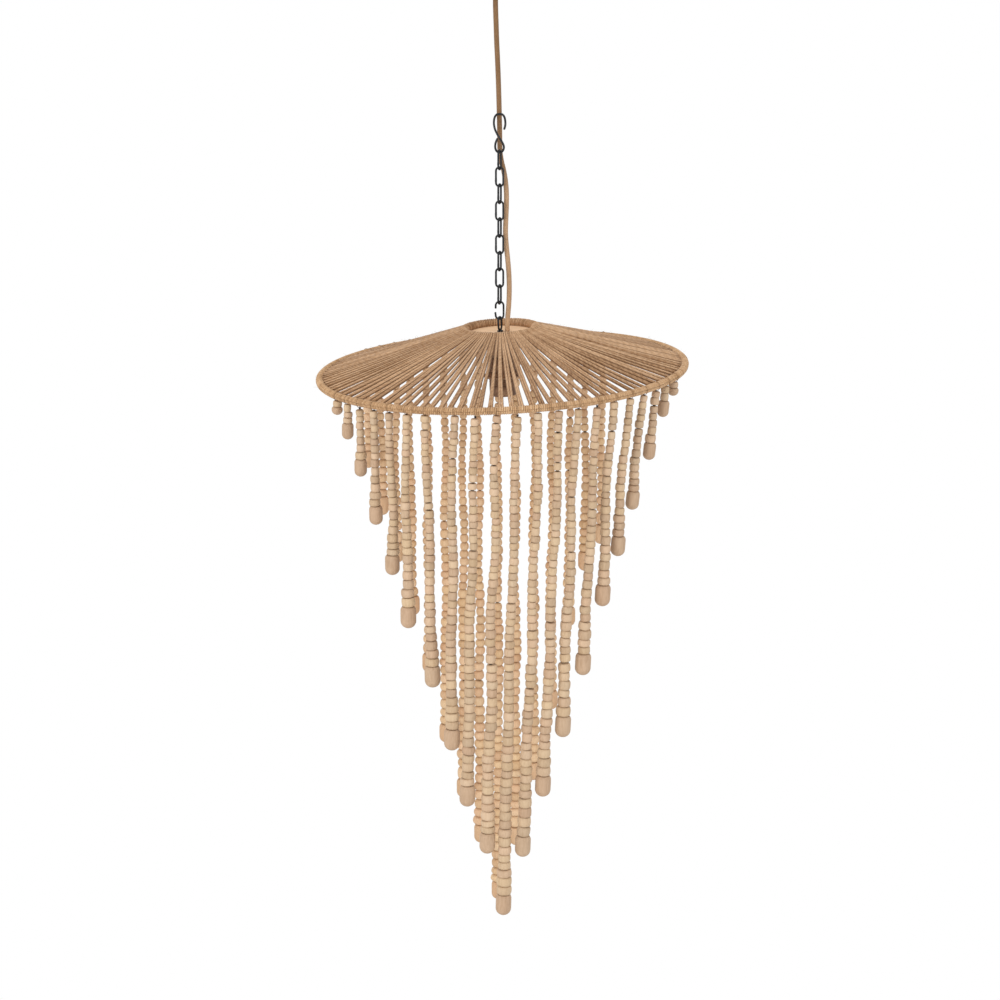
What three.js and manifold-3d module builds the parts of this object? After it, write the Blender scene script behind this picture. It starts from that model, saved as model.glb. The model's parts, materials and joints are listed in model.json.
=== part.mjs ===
// Beaded chandelier. A conical jute shade hangs from a short chain on an S-hook, and two V-shaped curtains of
// wooden bead strands hang from the shade's lower ring, one in front and one behind. A jute-covered cord comes
// down beside the chain. Millimetres, +Z up, the front towards -Y. The origin is where the S-hook's upper loop
// bears on whatever holds it.
import * as THREE from 'three';
import { mergeVertices } from 'three/addons/utils/BufferGeometryUtils.js';
import Module from 'manifold-3d';

const wasm = await Module();
wasm.setup();

// Clearances
const touch_gap = 0.3;
const cut_overrun = 2;

// S-hook
const hook_wire_diameter = 3.5;
const hook_height = 64.5;
const hook_upper_width = 21.8;
const hook_lower_width = 17.6;
const hook_tube_steps = 34;
const hook_tube_sides = 6;

// Chain
const link_turn_deg = 69;
const link_count = 9;
const link_wire_diameter = 3.2;
const link_length = 34;
const link_width = 15;
const link_end_steps = 6;
const link_tube_sides = 6;

// Open link between the chain and the shade
const open_link_length = 32;
const open_link_width = 16;
const open_link_gap = 6;

// Eye on the shade, its collar, shank and nut
const eye_length = 24.3;
const eye_width = 13;
const eye_turn_deg = 60;
const eye_collar_radius = 5;
const eye_collar_height = 1.8;
const eye_shank_radius = 2.5;
const eye_nut_radius = 5.5;
const eye_nut_height = 5;
const thread_clearance = 0.4;

// Shade frame
const ring_outer_diameter = 610;
const rim_thickness = 12.4;
const rim_wrap_wall = 2.4;
const rim_wrap_slit_deg = 24;
const rim_sides = 6;
const shade_drop = 66.5;
const top_rod_radius = 3.5;
const top_ring_radius = 59.5;
const top_ring_sides = 6;
const crown_wall = 2.6;
const plate_thickness = 5;
const plate_radius = 62;
const frame_tilt_deg = 2.67;
const top_segments = 32;

// Jute spokes between the two rings
const spoke_count = 116;
const spoke_thickness = 3.2;
const spoke_top_width = 3.2;
const spoke_rim_width = 8.4;

// Lamp holder
const cap_radius = 23;
const cap_wall = 2.5;
const cap_height = 34;
const holder_radius = 22;
const holder_height = 65;
const holder_bore_radius = 13.5;
const holder_neck_length = 12;
const holder_floor_thickness = 12;
const holder_ring_radius = 31;
const holder_ring_height = 8;
const holder_ring_drop = 26;
const holder_segments = 16;

// Bead strands
const front_strand_count = 21;
const back_strand_count = 15;
const gaps_per_strand = 2;
const front_longest_index = 10;
const front_offset_deg = 4.4;
const back_middle_index = 7;
const longest_front_drop = 833;
const longest_back_drop = 1071;
const front_drop_shares = [0.036, 0.077, 0.143, 0.231, 0.324, 0.424, 0.538, 0.66, 0.773, 0.87, 1,
  0.883, 0.765, 0.651, 0.534, 0.405, 0.315, 0.233, 0.144, 0.069, 0.036];
const back_drop_shares = [0.19, 0.276, 0.364, 0.462, 0.569, 0.7, 0.805, 0.892, 1, 0.9, 0.78, 0.65, 0.5, 0.4, 0.35];
const front_lean_deg = [4, 1, 0, -0.5, -0.5, 0, -1.2, 0.7, 1.3, 1.2, 1.5,
  1.8, 2.05, 2.3, 2.5, 2.75, 3.8, 5.2, 5.2, 5.8, 4.5];
const front_shifted_count = 7;
const bead_top_diameter = 13;
const bead_low_diameter = 17;
const bead_growth = 7;
const bead_growth_power = 1.5;
const bead_pitch_share = 0.72;
const bead_pitch_base = 3.6;
const beads_per_bump = 5;
const bead_valley_share = 0.8;
const bead_crest_share = 0.5;
const bead_edge_share = 0.06;
const bead_sides = 5;
const end_bead_diameter = 26;
const end_bead_height = 36;
const end_bead_crest_share = 0.35;
const end_bead_low_share = 0.8;
const end_bead_tip_share = 0.33;
const short_end_bead_share = 0.68;
const full_end_bead_drop = 360;
const loop_wire = 1.2;
const loop_clearance = 0.35;
const loop_steps = 6;
const stem_radius = 1;

// Cord and its ceiling cup. The routes are chosen by hand from the photograph.
const cord_diameter = 8.2;
const cord_sides = 8;
const cord_hole_clearance = 0.6;
const cord_hole = [11.6, 2.4];
const cord_upper_route = [
  [-6.5, 8, 186], [-6.4, 8, 170], [-5.6, 8, 145], [-4.6, 8, 115], [-3.2, 8, 85], [-2, 8, 55],
  [-1.1, 8.4, 25], [-0.5, 9.6, 0], [0, 11.3, -22], [0.2, 12.4, -38], [0.3, 12.6, -50],
];
const cord_lower_route = [
  [0.3, 12.6, -50.3], [0.9, 12.8, -62], [3.2, 12.9, -76], [6.6, 12.4, -90], [9.4, 11.4, -106],
  [10.9, 10.4, -124], [11, 9.7, -144], [10.2, 9.3, -166], [9.6, 9.2, -190], [11, 9, -212],
  [13.4, 8.6, -236], [15.2, 8.1, -260], [15.7, 7.2, -284], [15, 5.8, -306], [13.4, 4, -326],
  [12.5, 2.8, -340], [12.75, 2.4, -351], [13.36, 2.4, -364],
];
const cord_step_diameters = 2.4;
const cup_radius = 55;
const cup_height = 26;
const cup_wall = 2.4;
const cup_segments = 24;
const cup_neck_radius = 8;
const cup_neck_height = 9;
const cup_shoulder_share = 0.6;
const cup_shoulder_height_share = 0.2;
const cup_edge_height_share = 0.75;

// Worked out from the sizes above
const turn = 2 * Math.PI;
const hook_wire_radius = hook_wire_diameter / 2;
const link_wire_radius = link_wire_diameter / 2;
const link_pitch = link_length - 2 * link_wire_diameter - touch_gap;
const rim_radius = rim_thickness / 2;
const ring_radius = ring_outer_diameter / 2 - rim_radius;
const rod_radius = rim_radius - rim_wrap_wall - touch_gap;
const rim_segments = spoke_count / gaps_per_strand;
const strand_pitch = turn / rim_segments;
const rim_chord_sag = ring_radius * (1 - Math.cos(strand_pitch / 2));
const frame_tilt = THREE.MathUtils.degToRad(frame_tilt_deg);

const hook_bottom = hook_wire_diameter - hook_height;
const first_link_top = hook_bottom + hook_wire_diameter + link_wire_radius + touch_gap;
const last_link_bottom = first_link_top - (link_count - 1) * link_pitch - (link_length - link_wire_diameter);
const open_link_top = last_link_bottom + link_wire_diameter + touch_gap;
const open_link_bottom = open_link_top - (open_link_length - link_wire_diameter);
const eye_top = open_link_bottom + link_wire_diameter + touch_gap;

// Heights in the shade's own frame, whose origin is the eye's top
const collar_top = link_wire_radius - eye_length;
const plate_top = collar_top - eye_collar_height - touch_gap;
const plate_bottom = plate_top - plate_thickness;
const top_ring_height = plate_top + touch_gap + top_rod_radius;
const ring_height = top_ring_height - shade_drop;

const materials = {
  wood: () => new THREE.MeshStandardMaterial({ color: 0xd9b98c, roughness: 0.7, metalness: 0 }),
  dark_wood: () => new THREE.MeshStandardMaterial({ color: 0xc49c6a, roughness: 0.75, metalness: 0 }),
  jute: () => new THREE.MeshStandardMaterial({ color: 0xa87a49, roughness: 0.95, metalness: 0 }),
  cord: () => new THREE.MeshStandardMaterial({ color: 0x9a6f48, roughness: 0.9, metalness: 0 }),
  black_steel: () => new THREE.MeshStandardMaterial({ color: 0x14181a, roughness: 0.45, metalness: 0.9 }),
  brown_plastic: () => new THREE.MeshStandardMaterial({ color: 0x2a1a12, roughness: 0.5, metalness: 0 }),
  board: () => new THREE.MeshStandardMaterial({ color: 0xc9a06c, roughness: 0.8, metalness: 0 }),
};

const shade = new THREE.Group();
const chandelier = new THREE.Group();

function addPiece(group, name, geometry, material) {
  const mesh = new THREE.Mesh(geometry, material());
  mesh.name = name;
  group.add(mesh);
  return mesh;
}

// Geometry to solid and back, for cuts and joins
function solidOf(geometry) {
  const bare = geometry.clone();
  for (const name of Object.keys(bare.attributes)) {
    if (name !== 'position') bare.deleteAttribute(name);
  }
  const merged = mergeVertices(bare);
  return new wasm.Manifold(new wasm.Mesh({
    numProp: 3,
    vertProperties: new Float32Array(merged.attributes.position.array),
    triVerts: new Uint32Array(merged.index.array),
  }));
}

function geometryOf(solid) {
  const mesh = solid.getMesh();
  const geometry = new THREE.BufferGeometry();
  geometry.setAttribute('position', new THREE.BufferAttribute(new Float32Array(mesh.vertProperties), 3));
  geometry.setIndex(new THREE.BufferAttribute(new Uint32Array(mesh.triVerts), 1));
  return geometry;
}

// A closed body from rings of points. Rings are joined in order, and the last joins the first where it closes.
function ringBody(rings, closes) {
  const sides = rings[0].length;
  const positions = rings.flat().flatMap((point) => [point.x, point.y, point.z]);
  const faces = [];
  const steps = closes ? rings.length : rings.length - 1;
  for (let ring = 0; ring < steps; ring += 1) {
    const next = (ring + 1) % rings.length;
    for (let side = 0; side < sides; side += 1) {
      const beside = (side + 1) % sides;
      const [a, b] = [ring * sides + side, ring * sides + beside];
      const [c, d] = [next * sides + beside, next * sides + side];
      faces.push(a, b, c, a, c, d);
    }
  }
  if (!closes) {
    const last = (rings.length - 1) * sides;
    for (let side = 1; side < sides - 1; side += 1) {
      faces.push(0, side + 1, side, last, last + side, last + side + 1);
    }
  }
  const geometry = new THREE.BufferGeometry();
  geometry.setAttribute('position', new THREE.Float32BufferAttribute(positions, 3));
  geometry.setIndex(faces);
  return geometry;
}

// A wire that follows a flat path in the XZ plane
function flatWire(path, wire_radius, sides, closes) {
  const rings = path.map((point, index) => {
    const before = path[closes ? (index + path.length - 1) % path.length : Math.max(index - 1, 0)];
    const after = path[closes ? (index + 1) % path.length : Math.min(index + 1, path.length - 1)];
    const along = after.clone().sub(before).normalize();
    const across = new THREE.Vector3(0, 1, 0);
    const out = across.clone().cross(along).normalize();
    const [into, from] = [point.clone().sub(before), after.clone().sub(point)];
    const bend = into.length() && from.length() ? into.angleTo(from) / 2 : 0;
    return Array.from({ length: sides }, (_, side) => {
      const angle = turn * (side + 0.5) / sides;
      return point.clone()
        .addScaledVector(out, wire_radius * Math.cos(angle) / Math.cos(bend))
        .addScaledVector(across, wire_radius * Math.sin(angle));
    });
  });
  return ringBody(rings, closes);
}

// A solid of revolution about Z from [radius, height] points that start and end on the axis, or close
function turned(profile, segments, start_angle = 0) {
  const points = profile.map(([radius, height]) => new THREE.Vector2(radius, height));
  const geometry = new THREE.LatheGeometry(points, segments, start_angle);
  geometry.rotateX(Math.PI / 2);
  return geometry;
}

function cylinder(radius, low, high, segments) {
  return turned([[0, low], [radius, low], [radius, high], [0, high]], segments);
}

// An oval link's path: straight legs between semicircular ends, with its top at height zero
function ovalPath(length, width) {
  const radius = width / 2;
  const leg = length - width;
  const path = [];
  for (const [centre, start] of [[-radius, 0], [-radius - leg, Math.PI]]) {
    for (let step = 0; step <= link_end_steps; step += 1) {
      const angle = start + Math.PI * step / link_end_steps;
      path.push(new THREE.Vector3(radius * Math.cos(angle), 0, centre + radius * Math.sin(angle)));
    }
  }
  return path;
}

function buildHook() {
  // Shares of the hook's half-widths and height, from the open tip to the end that closes the lower loop
  const upper_shares = [[0.78, 0.405], [0.98, 0.3], [1, 0.2], [0.86, 0.085], [0.5, 0.012], [0, 0],
    [-0.5, 0.012], [-0.86, 0.085], [-1, 0.205], [-0.93, 0.32], [-0.74, 0.42], [-0.3, 0.555]];
  const lower_shares = [[0.42, 0.7], [0.86, 0.8], [0.97, 0.86], [0.86, 0.93], [0.5, 0.985], [0, 1],
    [-0.5, 0.985], [-0.86, 0.93], [-1, 0.85], [-0.92, 0.76], [-0.66, 0.68], [-0.42, 0.631]];
  const span = hook_height - hook_wire_diameter;
  const place = ([across, down], width) => new THREE.Vector3(
    across * (width - hook_wire_diameter) / 2, 0, hook_wire_radius - down * span);
  const curve = new THREE.CatmullRomCurve3([
    ...upper_shares.map((share) => place(share, hook_upper_width)),
    ...lower_shares.map((share) => place(share, hook_lower_width)),
  ]);
  return flatWire(curve.getSpacedPoints(hook_tube_steps), hook_wire_radius, hook_tube_sides, false);
}

function buildLink() {
  const path = ovalPath(link_length - link_wire_diameter, link_width - link_wire_diameter);
  return flatWire(path, link_wire_radius, link_tube_sides, true);
}

function buildOpenLink() {
  // The same oval, opened by a gap at the middle of its left leg
  const path = ovalPath(open_link_length - link_wire_diameter, open_link_width - link_wire_diameter);
  const left = -(open_link_width - link_wire_diameter) / 2;
  const middle = -(open_link_length - link_wire_diameter) / 2;
  const half = link_end_steps + 1;
  const ends = [-1, 1].map((side) => new THREE.Vector3(left, 0, middle + side * open_link_gap / 2));
  const open_path = [ends[0], ...path.slice(half), ...path.slice(0, half), ends[1]];
  return flatWire(open_path, link_wire_radius, link_tube_sides, false);
}

function buildEye() {
  const path = ovalPath(eye_length - link_wire_diameter, eye_width - link_wire_diameter);
  const loop = solidOf(flatWire(path, link_wire_radius, link_tube_sides, true)
    .rotateZ(THREE.MathUtils.degToRad(eye_turn_deg)));
  const collar_bottom = collar_top - eye_collar_height;
  const shank_bottom = plate_bottom - touch_gap - cap_wall - touch_gap - eye_nut_height - cut_overrun;
  const shank = solidOf(turned([
    [0, shank_bottom], [eye_shank_radius, shank_bottom], [eye_shank_radius, collar_bottom],
    [eye_collar_radius, collar_bottom], [eye_collar_radius, collar_top + link_wire_radius / 2],
    [0, collar_top + link_wire_radius / 2],
  ], holder_segments));
  return geometryOf(loop.add(shank));
}

function buildNut() {
  const top = plate_bottom - touch_gap - cap_wall - touch_gap;
  const nut = solidOf(cylinder(eye_nut_radius, top - eye_nut_height, top, 6));
  const bore = solidOf(cylinder(eye_shank_radius + thread_clearance, top - eye_nut_height - cut_overrun,
    top + cut_overrun, holder_segments));
  return geometryOf(nut.subtract(bore));
}

function cordHole(low, high) {
  const radius = cord_diameter / 2 + cord_hole_clearance;
  return solidOf(cylinder(radius, low, high, holder_segments).translate(...cord_hole, 0));
}

function shankHole(low, high) {
  return solidOf(cylinder(eye_shank_radius + thread_clearance, low, high, holder_segments));
}

function buildPlate() {
  const [low, high] = [plate_bottom - cut_overrun, plate_top + cut_overrun];
  const disc = solidOf(cylinder(plate_radius, plate_bottom, plate_top, top_segments));
  return geometryOf(disc.subtract(cordHole(low, high)).subtract(shankHole(low, high)));
}

function circleProfile(centre, height, radius, sides) {
  const profile = Array.from({ length: sides }, (_, side) => {
    const angle = turn * side / sides;
    return [centre + radius * Math.cos(angle), height + radius * Math.sin(angle)];
  });
  return [...profile, profile[0]];
}

function buildTopRing() {
  const profile = circleProfile(top_ring_radius, top_ring_height, top_rod_radius, top_ring_sides);
  return turned(profile, top_segments);
}

// The two lower ring pieces have their corners at the front strands' places
function buildRimRod() {
  return turned(circleProfile(ring_radius, ring_height, rod_radius, rim_sides - 1), rim_segments, strandAngle(0));
}

function buildRimWrap() {
  // The twine sleeve round the rod, open along the inside where the spokes come in
  const half_slit = THREE.MathUtils.degToRad(rim_wrap_slit_deg) / 2;
  const arc = (radius, sides, from, to) => Array.from({ length: sides + 1 }, (_, side) => {
    const angle = from + (to - from) * side / sides;
    return [ring_radius + radius * Math.cos(angle), ring_height + radius * Math.sin(angle)];
  });
  const [low, high] = [-Math.PI + half_slit, Math.PI - half_slit];
  const outer = arc(rim_radius, rim_sides, low, high);
  const inner = arc((rod_radius + touch_gap) / Math.cos(Math.PI / rim_sides), rim_sides, high, low);
  return turned([...outer, ...inner, outer[0]], rim_segments, strandAngle(0));
}

// The crown is the twine laid over the top ring, an upside-down U that the spokes leave
function buildSpokes() {
  const inside = top_rod_radius + touch_gap;
  const outside = inside + crown_wall;
  const [r, z] = [top_ring_radius, top_ring_height];
  const wall_bottom = z - top_rod_radius + touch_gap;
  const crown_profile = [
    [r + inside, wall_bottom + crown_wall], [r + outside, wall_bottom + crown_wall], [r + outside, z + inside],
    [r + inside, z + outside], [r - inside, z + outside], [r - outside, z + inside],
    [r - outside, wall_bottom], [r - inside, wall_bottom], [r - inside, z + inside], [r + inside, z + inside],
  ];
  let spokes = solidOf(turned([...crown_profile, crown_profile[0]], top_segments));
  const start = new THREE.Vector3(0, -(r + inside + crown_wall / 2), z);
  const rim = new THREE.Vector3(0, -ring_radius, ring_height);
  const along = rim.clone().sub(start).normalize();
  const end = rim.clone().addScaledVector(along, -(rim_radius + rim_chord_sag + touch_gap));
  const side = new THREE.Vector3(1, 0, 0);
  const up = along.clone().cross(side);
  const section = (centre, width) => [[0, -1], [1, 1], [-1, 1]].map(([across, rise]) => centre.clone()
    .addScaledVector(side, across * width / 2).addScaledVector(up, rise * spoke_thickness / 2));
  const spoke = solidOf(ringBody([section(start, spoke_top_width), section(end, spoke_rim_width)], false));
  const places = Array.from({ length: spoke_count }, (_, index) => (
    THREE.MathUtils.radToDeg(strandAngle(0) + (index + 0.5) * turn / spoke_count)));
  spokes = wasm.Manifold.union([spokes, ...places.map((angle) => spoke.rotate([0, 0, angle]))]);
  return geometryOf(spokes);
}

function buildHolderCap() {
  const top = plate_bottom - touch_gap;
  const bottom = top - cap_height;
  const shoulder = cap_wall * 2;
  const cup = solidOf(turned([
    [0, top - cap_wall], [cap_radius - cap_wall, top - cap_wall], [cap_radius - cap_wall, bottom],
    [cap_radius, bottom], [cap_radius, top - shoulder], [cap_radius - shoulder, top], [0, top],
  ], holder_segments));
  const [low, high] = [top - cap_wall - cut_overrun, top + cut_overrun];
  return geometryOf(cup.subtract(cordHole(low, high)).subtract(shankHole(low, high)));
}

function buildHolder() {
  const top = plate_bottom - touch_gap - cap_height - touch_gap;
  const bottom = top - holder_height;
  const neck = cap_radius - cap_wall - thread_clearance;
  return turned([
    [0, top - holder_floor_thickness], [holder_bore_radius, top - holder_floor_thickness],
    [holder_bore_radius, bottom], [holder_radius, bottom], [holder_radius, top], [neck, top],
    [neck, top + holder_neck_length], [0, top + holder_neck_length],
  ], holder_segments);
}

function buildHolderRing() {
  const top = plate_bottom - touch_gap - cap_height - touch_gap - holder_ring_drop;
  const bottom = top - holder_ring_height;
  const inner = holder_radius + thread_clearance;
  const profile = [[inner, bottom], [holder_ring_radius, bottom], [holder_ring_radius, top], [inner, top]];
  return turned([...profile, profile[0]], holder_segments);
}

// A strand's angle round the lower ring from the front centre, towards +X
function strandAngle(index) {
  return THREE.MathUtils.degToRad(front_offset_deg) + (index - front_longest_index) * strand_pitch;
}

// The first few front strands, at the left, hang half a pitch further round, on the rim's flats
function frontSeat(index) {
  const on_flat = index < front_shifted_count;
  const angle = strandAngle(index) - (on_flat ? strand_pitch / 2 : 0);
  return { angle, radius: ring_radius - (on_flat ? rim_chord_sag : 0) };
}

// The back strands lie half a pitch off the front ones, seen from the front, on the rim's flats
function backAngle(index) {
  const halfway = Math.floor(rim_segments / 2) + 0.5;
  return strandAngle(front_longest_index) + (halfway + back_middle_index - index) * strand_pitch;
}

function beadDiameter(share, drop) {
  const growth = bead_low_diameter + bead_growth * drop / longest_front_drop - bead_top_diameter;
  return bead_top_diameter + growth * share ** bead_growth_power;
}

// A strand: a wire loop round the rim, a stem and a column of beads that ends in a drop bead.
// Each bump of the column stands for a few beads.
function buildStrand(angle, radius, drop, lean) {
  const place = new THREE.Vector3(radius * Math.sin(angle), -radius * Math.cos(angle), ring_height);
  const tangent = new THREE.Vector3(Math.cos(angle), Math.sin(angle), 0);
  const tilt = new THREE.Matrix4().makeRotationY(-frame_tilt);
  place.applyMatrix4(tilt);
  place.z += eye_top;
  tangent.applyMatrix4(tilt);
  const down = new THREE.Vector3(-Math.sin(lean), 0, -Math.cos(lean));
  const hang = down.clone().addScaledVector(tangent, -down.dot(tangent)).normalize();
  const out = tangent.clone().cross(hang);

  const inner = (rim_radius + loop_clearance) / Math.cos(Math.PI / loop_steps);
  const loop_rings = Array.from({ length: loop_steps }, (_, step) => {
    const around = turn * step / loop_steps;
    const spoke = hang.clone().multiplyScalar(Math.cos(around)).addScaledVector(out, Math.sin(around));
    return [[0, 0], [loop_wire, 1], [loop_wire, -1]].map(([rise, side]) => place.clone()
      .addScaledVector(spoke, inner + rise).addScaledVector(tangent, side * loop_wire / 2));
  });
  const loop = solidOf(ringBody(loop_rings, true));

  const start = inner + loop_wire / 2;
  const origin = place.clone().addScaledVector(hang, start);
  const sideways = new THREE.Vector3(0, 1, 0);
  const across = sideways.clone().cross(down).normalize();
  const ring = (depth, ring_radius_here) => Array.from({ length: bead_sides }, (_, side) => {
    const around = turn * side / bead_sides;
    return origin.clone().addScaledVector(down, depth)
      .addScaledVector(across, ring_radius_here * Math.cos(around))
      .addScaledVector(sideways, ring_radius_here * Math.sin(around));
  });
  const length = drop - start;
  const end_share = short_end_bead_share + (1 - short_end_bead_share) * Math.min(1, drop / full_end_bead_drop);
  const end_height = Math.min(end_bead_height * end_share, length / 2);
  const end_radius = end_bead_diameter * end_share / 2;
  const first_bead = loop_wire;
  const column = length - end_height - first_bead;
  const pitch = bead_pitch_base + bead_pitch_share * beadDiameter(bead_crest_share, drop);
  const bumps = Math.max(1, Math.round(column / (beads_per_bump * pitch)));
  const rings = [ring(0, stem_radius), ring(first_bead, stem_radius)];
  for (let bump = 0; bump < bumps; bump += 1) {
    const radius_here = beadDiameter((bump + bead_crest_share) / bumps, drop) / 2;
    rings.push(ring(first_bead + column * (bump + bead_edge_share) / bumps, radius_here * bead_valley_share));
    rings.push(ring(first_bead + column * (bump + bead_crest_share) / bumps, radius_here));
  }
  rings.push(ring(first_bead + column, end_radius * bead_valley_share));
  rings.push(ring(first_bead + column + end_height * end_bead_crest_share, end_radius));
  rings.push(ring(first_bead + column + end_height * end_bead_low_share, end_radius * bead_valley_share));
  rings.push(ring(length, end_radius * end_bead_tip_share));
  return geometryOf(loop.add(solidOf(ringBody(rings, false))));
}

function cordTube(route) {
  const curve = new THREE.CatmullRomCurve3(route.map((point) => new THREE.Vector3(...point)));
  const section = new THREE.Shape(Array.from({ length: cord_sides }, (_, side) => {
    const angle = turn * side / cord_sides;
    return new THREE.Vector2(cord_diameter / 2 * Math.cos(angle), cord_diameter / 2 * Math.sin(angle));
  }));
  const steps = Math.round(curve.getLength() / (cord_step_diameters * cord_diameter));
  return new THREE.ExtrudeGeometry(section, { steps, extrudePath: curve, bevelEnabled: false });
}

function buildCup() {
  const [x, y, cord_end] = cord_upper_route[0];
  const bottom = cord_end + touch_gap;
  const bell = bottom + cup_neck_height;
  const top = bell + cup_height;
  const inside = top - cup_wall;
  const shoulder = cup_radius * cup_shoulder_share;
  const shoulder_height = bell + cup_height * cup_shoulder_height_share;
  const edge_height = bell + cup_height * cup_edge_height_share;
  const profile = [
    [0, bottom], [cup_neck_radius, bottom], [cup_neck_radius, bell], [shoulder, shoulder_height],
    [cup_radius, edge_height], [cup_radius, top], [0, top],
  ];
  const body = solidOf(turned(profile, cup_segments));
  const hollow = solidOf(turned([
    [0, bell + cup_wall], [cup_neck_radius, bell + cup_wall],
    [shoulder - cup_wall, shoulder_height + cup_wall],
    [cup_radius - cup_wall, edge_height], [cup_radius - cup_wall, inside], [0, inside],
  ], cup_segments));
  const wire_hole = solidOf(cylinder(cup_neck_radius, inside - cut_overrun, top + cut_overrun, holder_segments));
  return geometryOf(body.subtract(hollow).subtract(wire_hole)).translate(x, y, 0);
}

// The hook, chain and cord hang straight down from the origin
addPiece(chandelier, 's_hook', buildHook(), materials.black_steel);
for (let index = 0; index < link_count; index += 1) {
  const link = addPiece(chandelier, `chain_link_${index + 1}`, buildLink(), materials.black_steel);
  link.position.z = first_link_top - index * link_pitch;
  link.rotation.z = index % 2 ? 0 : THREE.MathUtils.degToRad(link_turn_deg);
}
addPiece(chandelier, 'open_link', buildOpenLink(), materials.black_steel).position.z = open_link_top;
addPiece(chandelier, 'cord_upper', cordTube(cord_upper_route), materials.cord);
addPiece(chandelier, 'cord_lower', cordTube(cord_lower_route), materials.cord);
addPiece(chandelier, 'ceiling_cup', buildCup(), materials.black_steel);

// The shade hangs from the open link by its eye, its right side a little higher than its left
shade.position.z = eye_top;
shade.rotation.y = -frame_tilt;
chandelier.add(shade);
addPiece(shade, 'frame_eye', buildEye(), materials.black_steel);
addPiece(shade, 'eye_nut', buildNut(), materials.black_steel);
addPiece(shade, 'top_plate', buildPlate(), materials.board);
addPiece(shade, 'top_ring', buildTopRing(), materials.black_steel);
addPiece(shade, 'lower_ring_rod', buildRimRod(), materials.black_steel);
addPiece(shade, 'lower_ring_wrap', buildRimWrap(), materials.jute);
addPiece(shade, 'jute_spokes', buildSpokes(), materials.jute);
addPiece(shade, 'holder_cap', buildHolderCap(), materials.brown_plastic);
addPiece(shade, 'lamp_holder', buildHolder(), materials.brown_plastic);
addPiece(shade, 'holder_ring', buildHolderRing(), materials.brown_plastic);

for (let index = 0; index < front_strand_count; index += 1) {
  const lean = THREE.MathUtils.degToRad(front_lean_deg[index]);
  const drop = longest_front_drop * front_drop_shares[index];
  const seat = frontSeat(index);
  const strand = buildStrand(seat.angle, seat.radius, drop, lean);
  addPiece(chandelier, `front_strand_${index + 1}`, strand, materials.wood);
}
for (let index = 0; index < back_strand_count; index += 1) {
  const drop = longest_back_drop * back_drop_shares[index];
  const strand = buildStrand(backAngle(index), ring_radius - rim_chord_sag, drop, 0);
  addPiece(chandelier, `back_strand_${index + 1}`, strand, materials.dark_wood);
}

export default chandelier;
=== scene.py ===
"""A beaded chandelier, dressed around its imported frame.

A cone of jute twine hangs from a short chain on an S-hook. Two V-shaped curtains of wooden bead strands hang from
the cone's lower ring, each strand on its own wire loop, and a fabric-covered cord comes down beside the chain.
Everything is in metres, with +Z up, the front towards -Y and the origin where the S-hook bears.
"""
from __future__ import annotations

import functools
import json
import logging
import math
import random
from dataclasses import dataclass
from enum import Enum
from typing import Iterable, Optional, Sequence

import bmesh
import bpy
from mathutils import Matrix, Vector

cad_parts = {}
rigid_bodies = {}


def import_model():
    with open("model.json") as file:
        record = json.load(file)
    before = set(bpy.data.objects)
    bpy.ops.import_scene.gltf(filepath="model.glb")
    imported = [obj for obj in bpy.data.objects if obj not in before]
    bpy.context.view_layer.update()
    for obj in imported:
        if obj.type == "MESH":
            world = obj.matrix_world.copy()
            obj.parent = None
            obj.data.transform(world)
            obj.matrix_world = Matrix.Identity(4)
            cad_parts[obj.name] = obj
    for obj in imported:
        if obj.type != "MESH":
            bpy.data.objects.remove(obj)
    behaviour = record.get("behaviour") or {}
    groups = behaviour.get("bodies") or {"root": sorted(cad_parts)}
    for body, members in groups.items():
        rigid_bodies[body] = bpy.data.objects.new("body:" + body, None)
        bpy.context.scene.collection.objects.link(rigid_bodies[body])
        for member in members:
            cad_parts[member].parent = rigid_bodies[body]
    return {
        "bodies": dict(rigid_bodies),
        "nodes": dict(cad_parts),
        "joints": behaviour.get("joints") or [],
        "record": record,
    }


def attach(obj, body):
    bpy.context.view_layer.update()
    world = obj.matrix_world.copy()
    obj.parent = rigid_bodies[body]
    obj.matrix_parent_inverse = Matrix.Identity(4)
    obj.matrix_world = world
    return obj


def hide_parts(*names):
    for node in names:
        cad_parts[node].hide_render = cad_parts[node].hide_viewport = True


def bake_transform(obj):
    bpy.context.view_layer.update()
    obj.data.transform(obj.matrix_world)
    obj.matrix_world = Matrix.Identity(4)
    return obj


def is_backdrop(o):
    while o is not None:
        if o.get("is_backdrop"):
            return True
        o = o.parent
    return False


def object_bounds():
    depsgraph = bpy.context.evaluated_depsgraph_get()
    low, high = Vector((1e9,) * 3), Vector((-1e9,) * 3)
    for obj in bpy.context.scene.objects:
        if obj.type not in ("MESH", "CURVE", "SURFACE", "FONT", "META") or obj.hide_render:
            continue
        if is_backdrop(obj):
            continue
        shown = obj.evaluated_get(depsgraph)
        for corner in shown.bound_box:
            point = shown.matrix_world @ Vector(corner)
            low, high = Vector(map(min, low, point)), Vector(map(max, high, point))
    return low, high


LOG = logging.getLogger("chandelier")
MM = 0.001
FULL_TURN = 2 * math.pi
UV_MAP = "UVMap"

# Where the pieces meet, in the frame's own coordinates
HOOK_WIRE = 3.5 * MM
HOOK_HEIGHT = 64.5 * MM
LINK_WIRE = 3.2 * MM
LINK_LENGTH = 34 * MM
LINK_WIDTH = 15 * MM
LINK_COUNT = 9
TOUCH_GAP = 0.3 * MM
OPEN_LINK_LENGTH = 32 * MM
OPEN_LINK_WIDTH = 16 * MM

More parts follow.
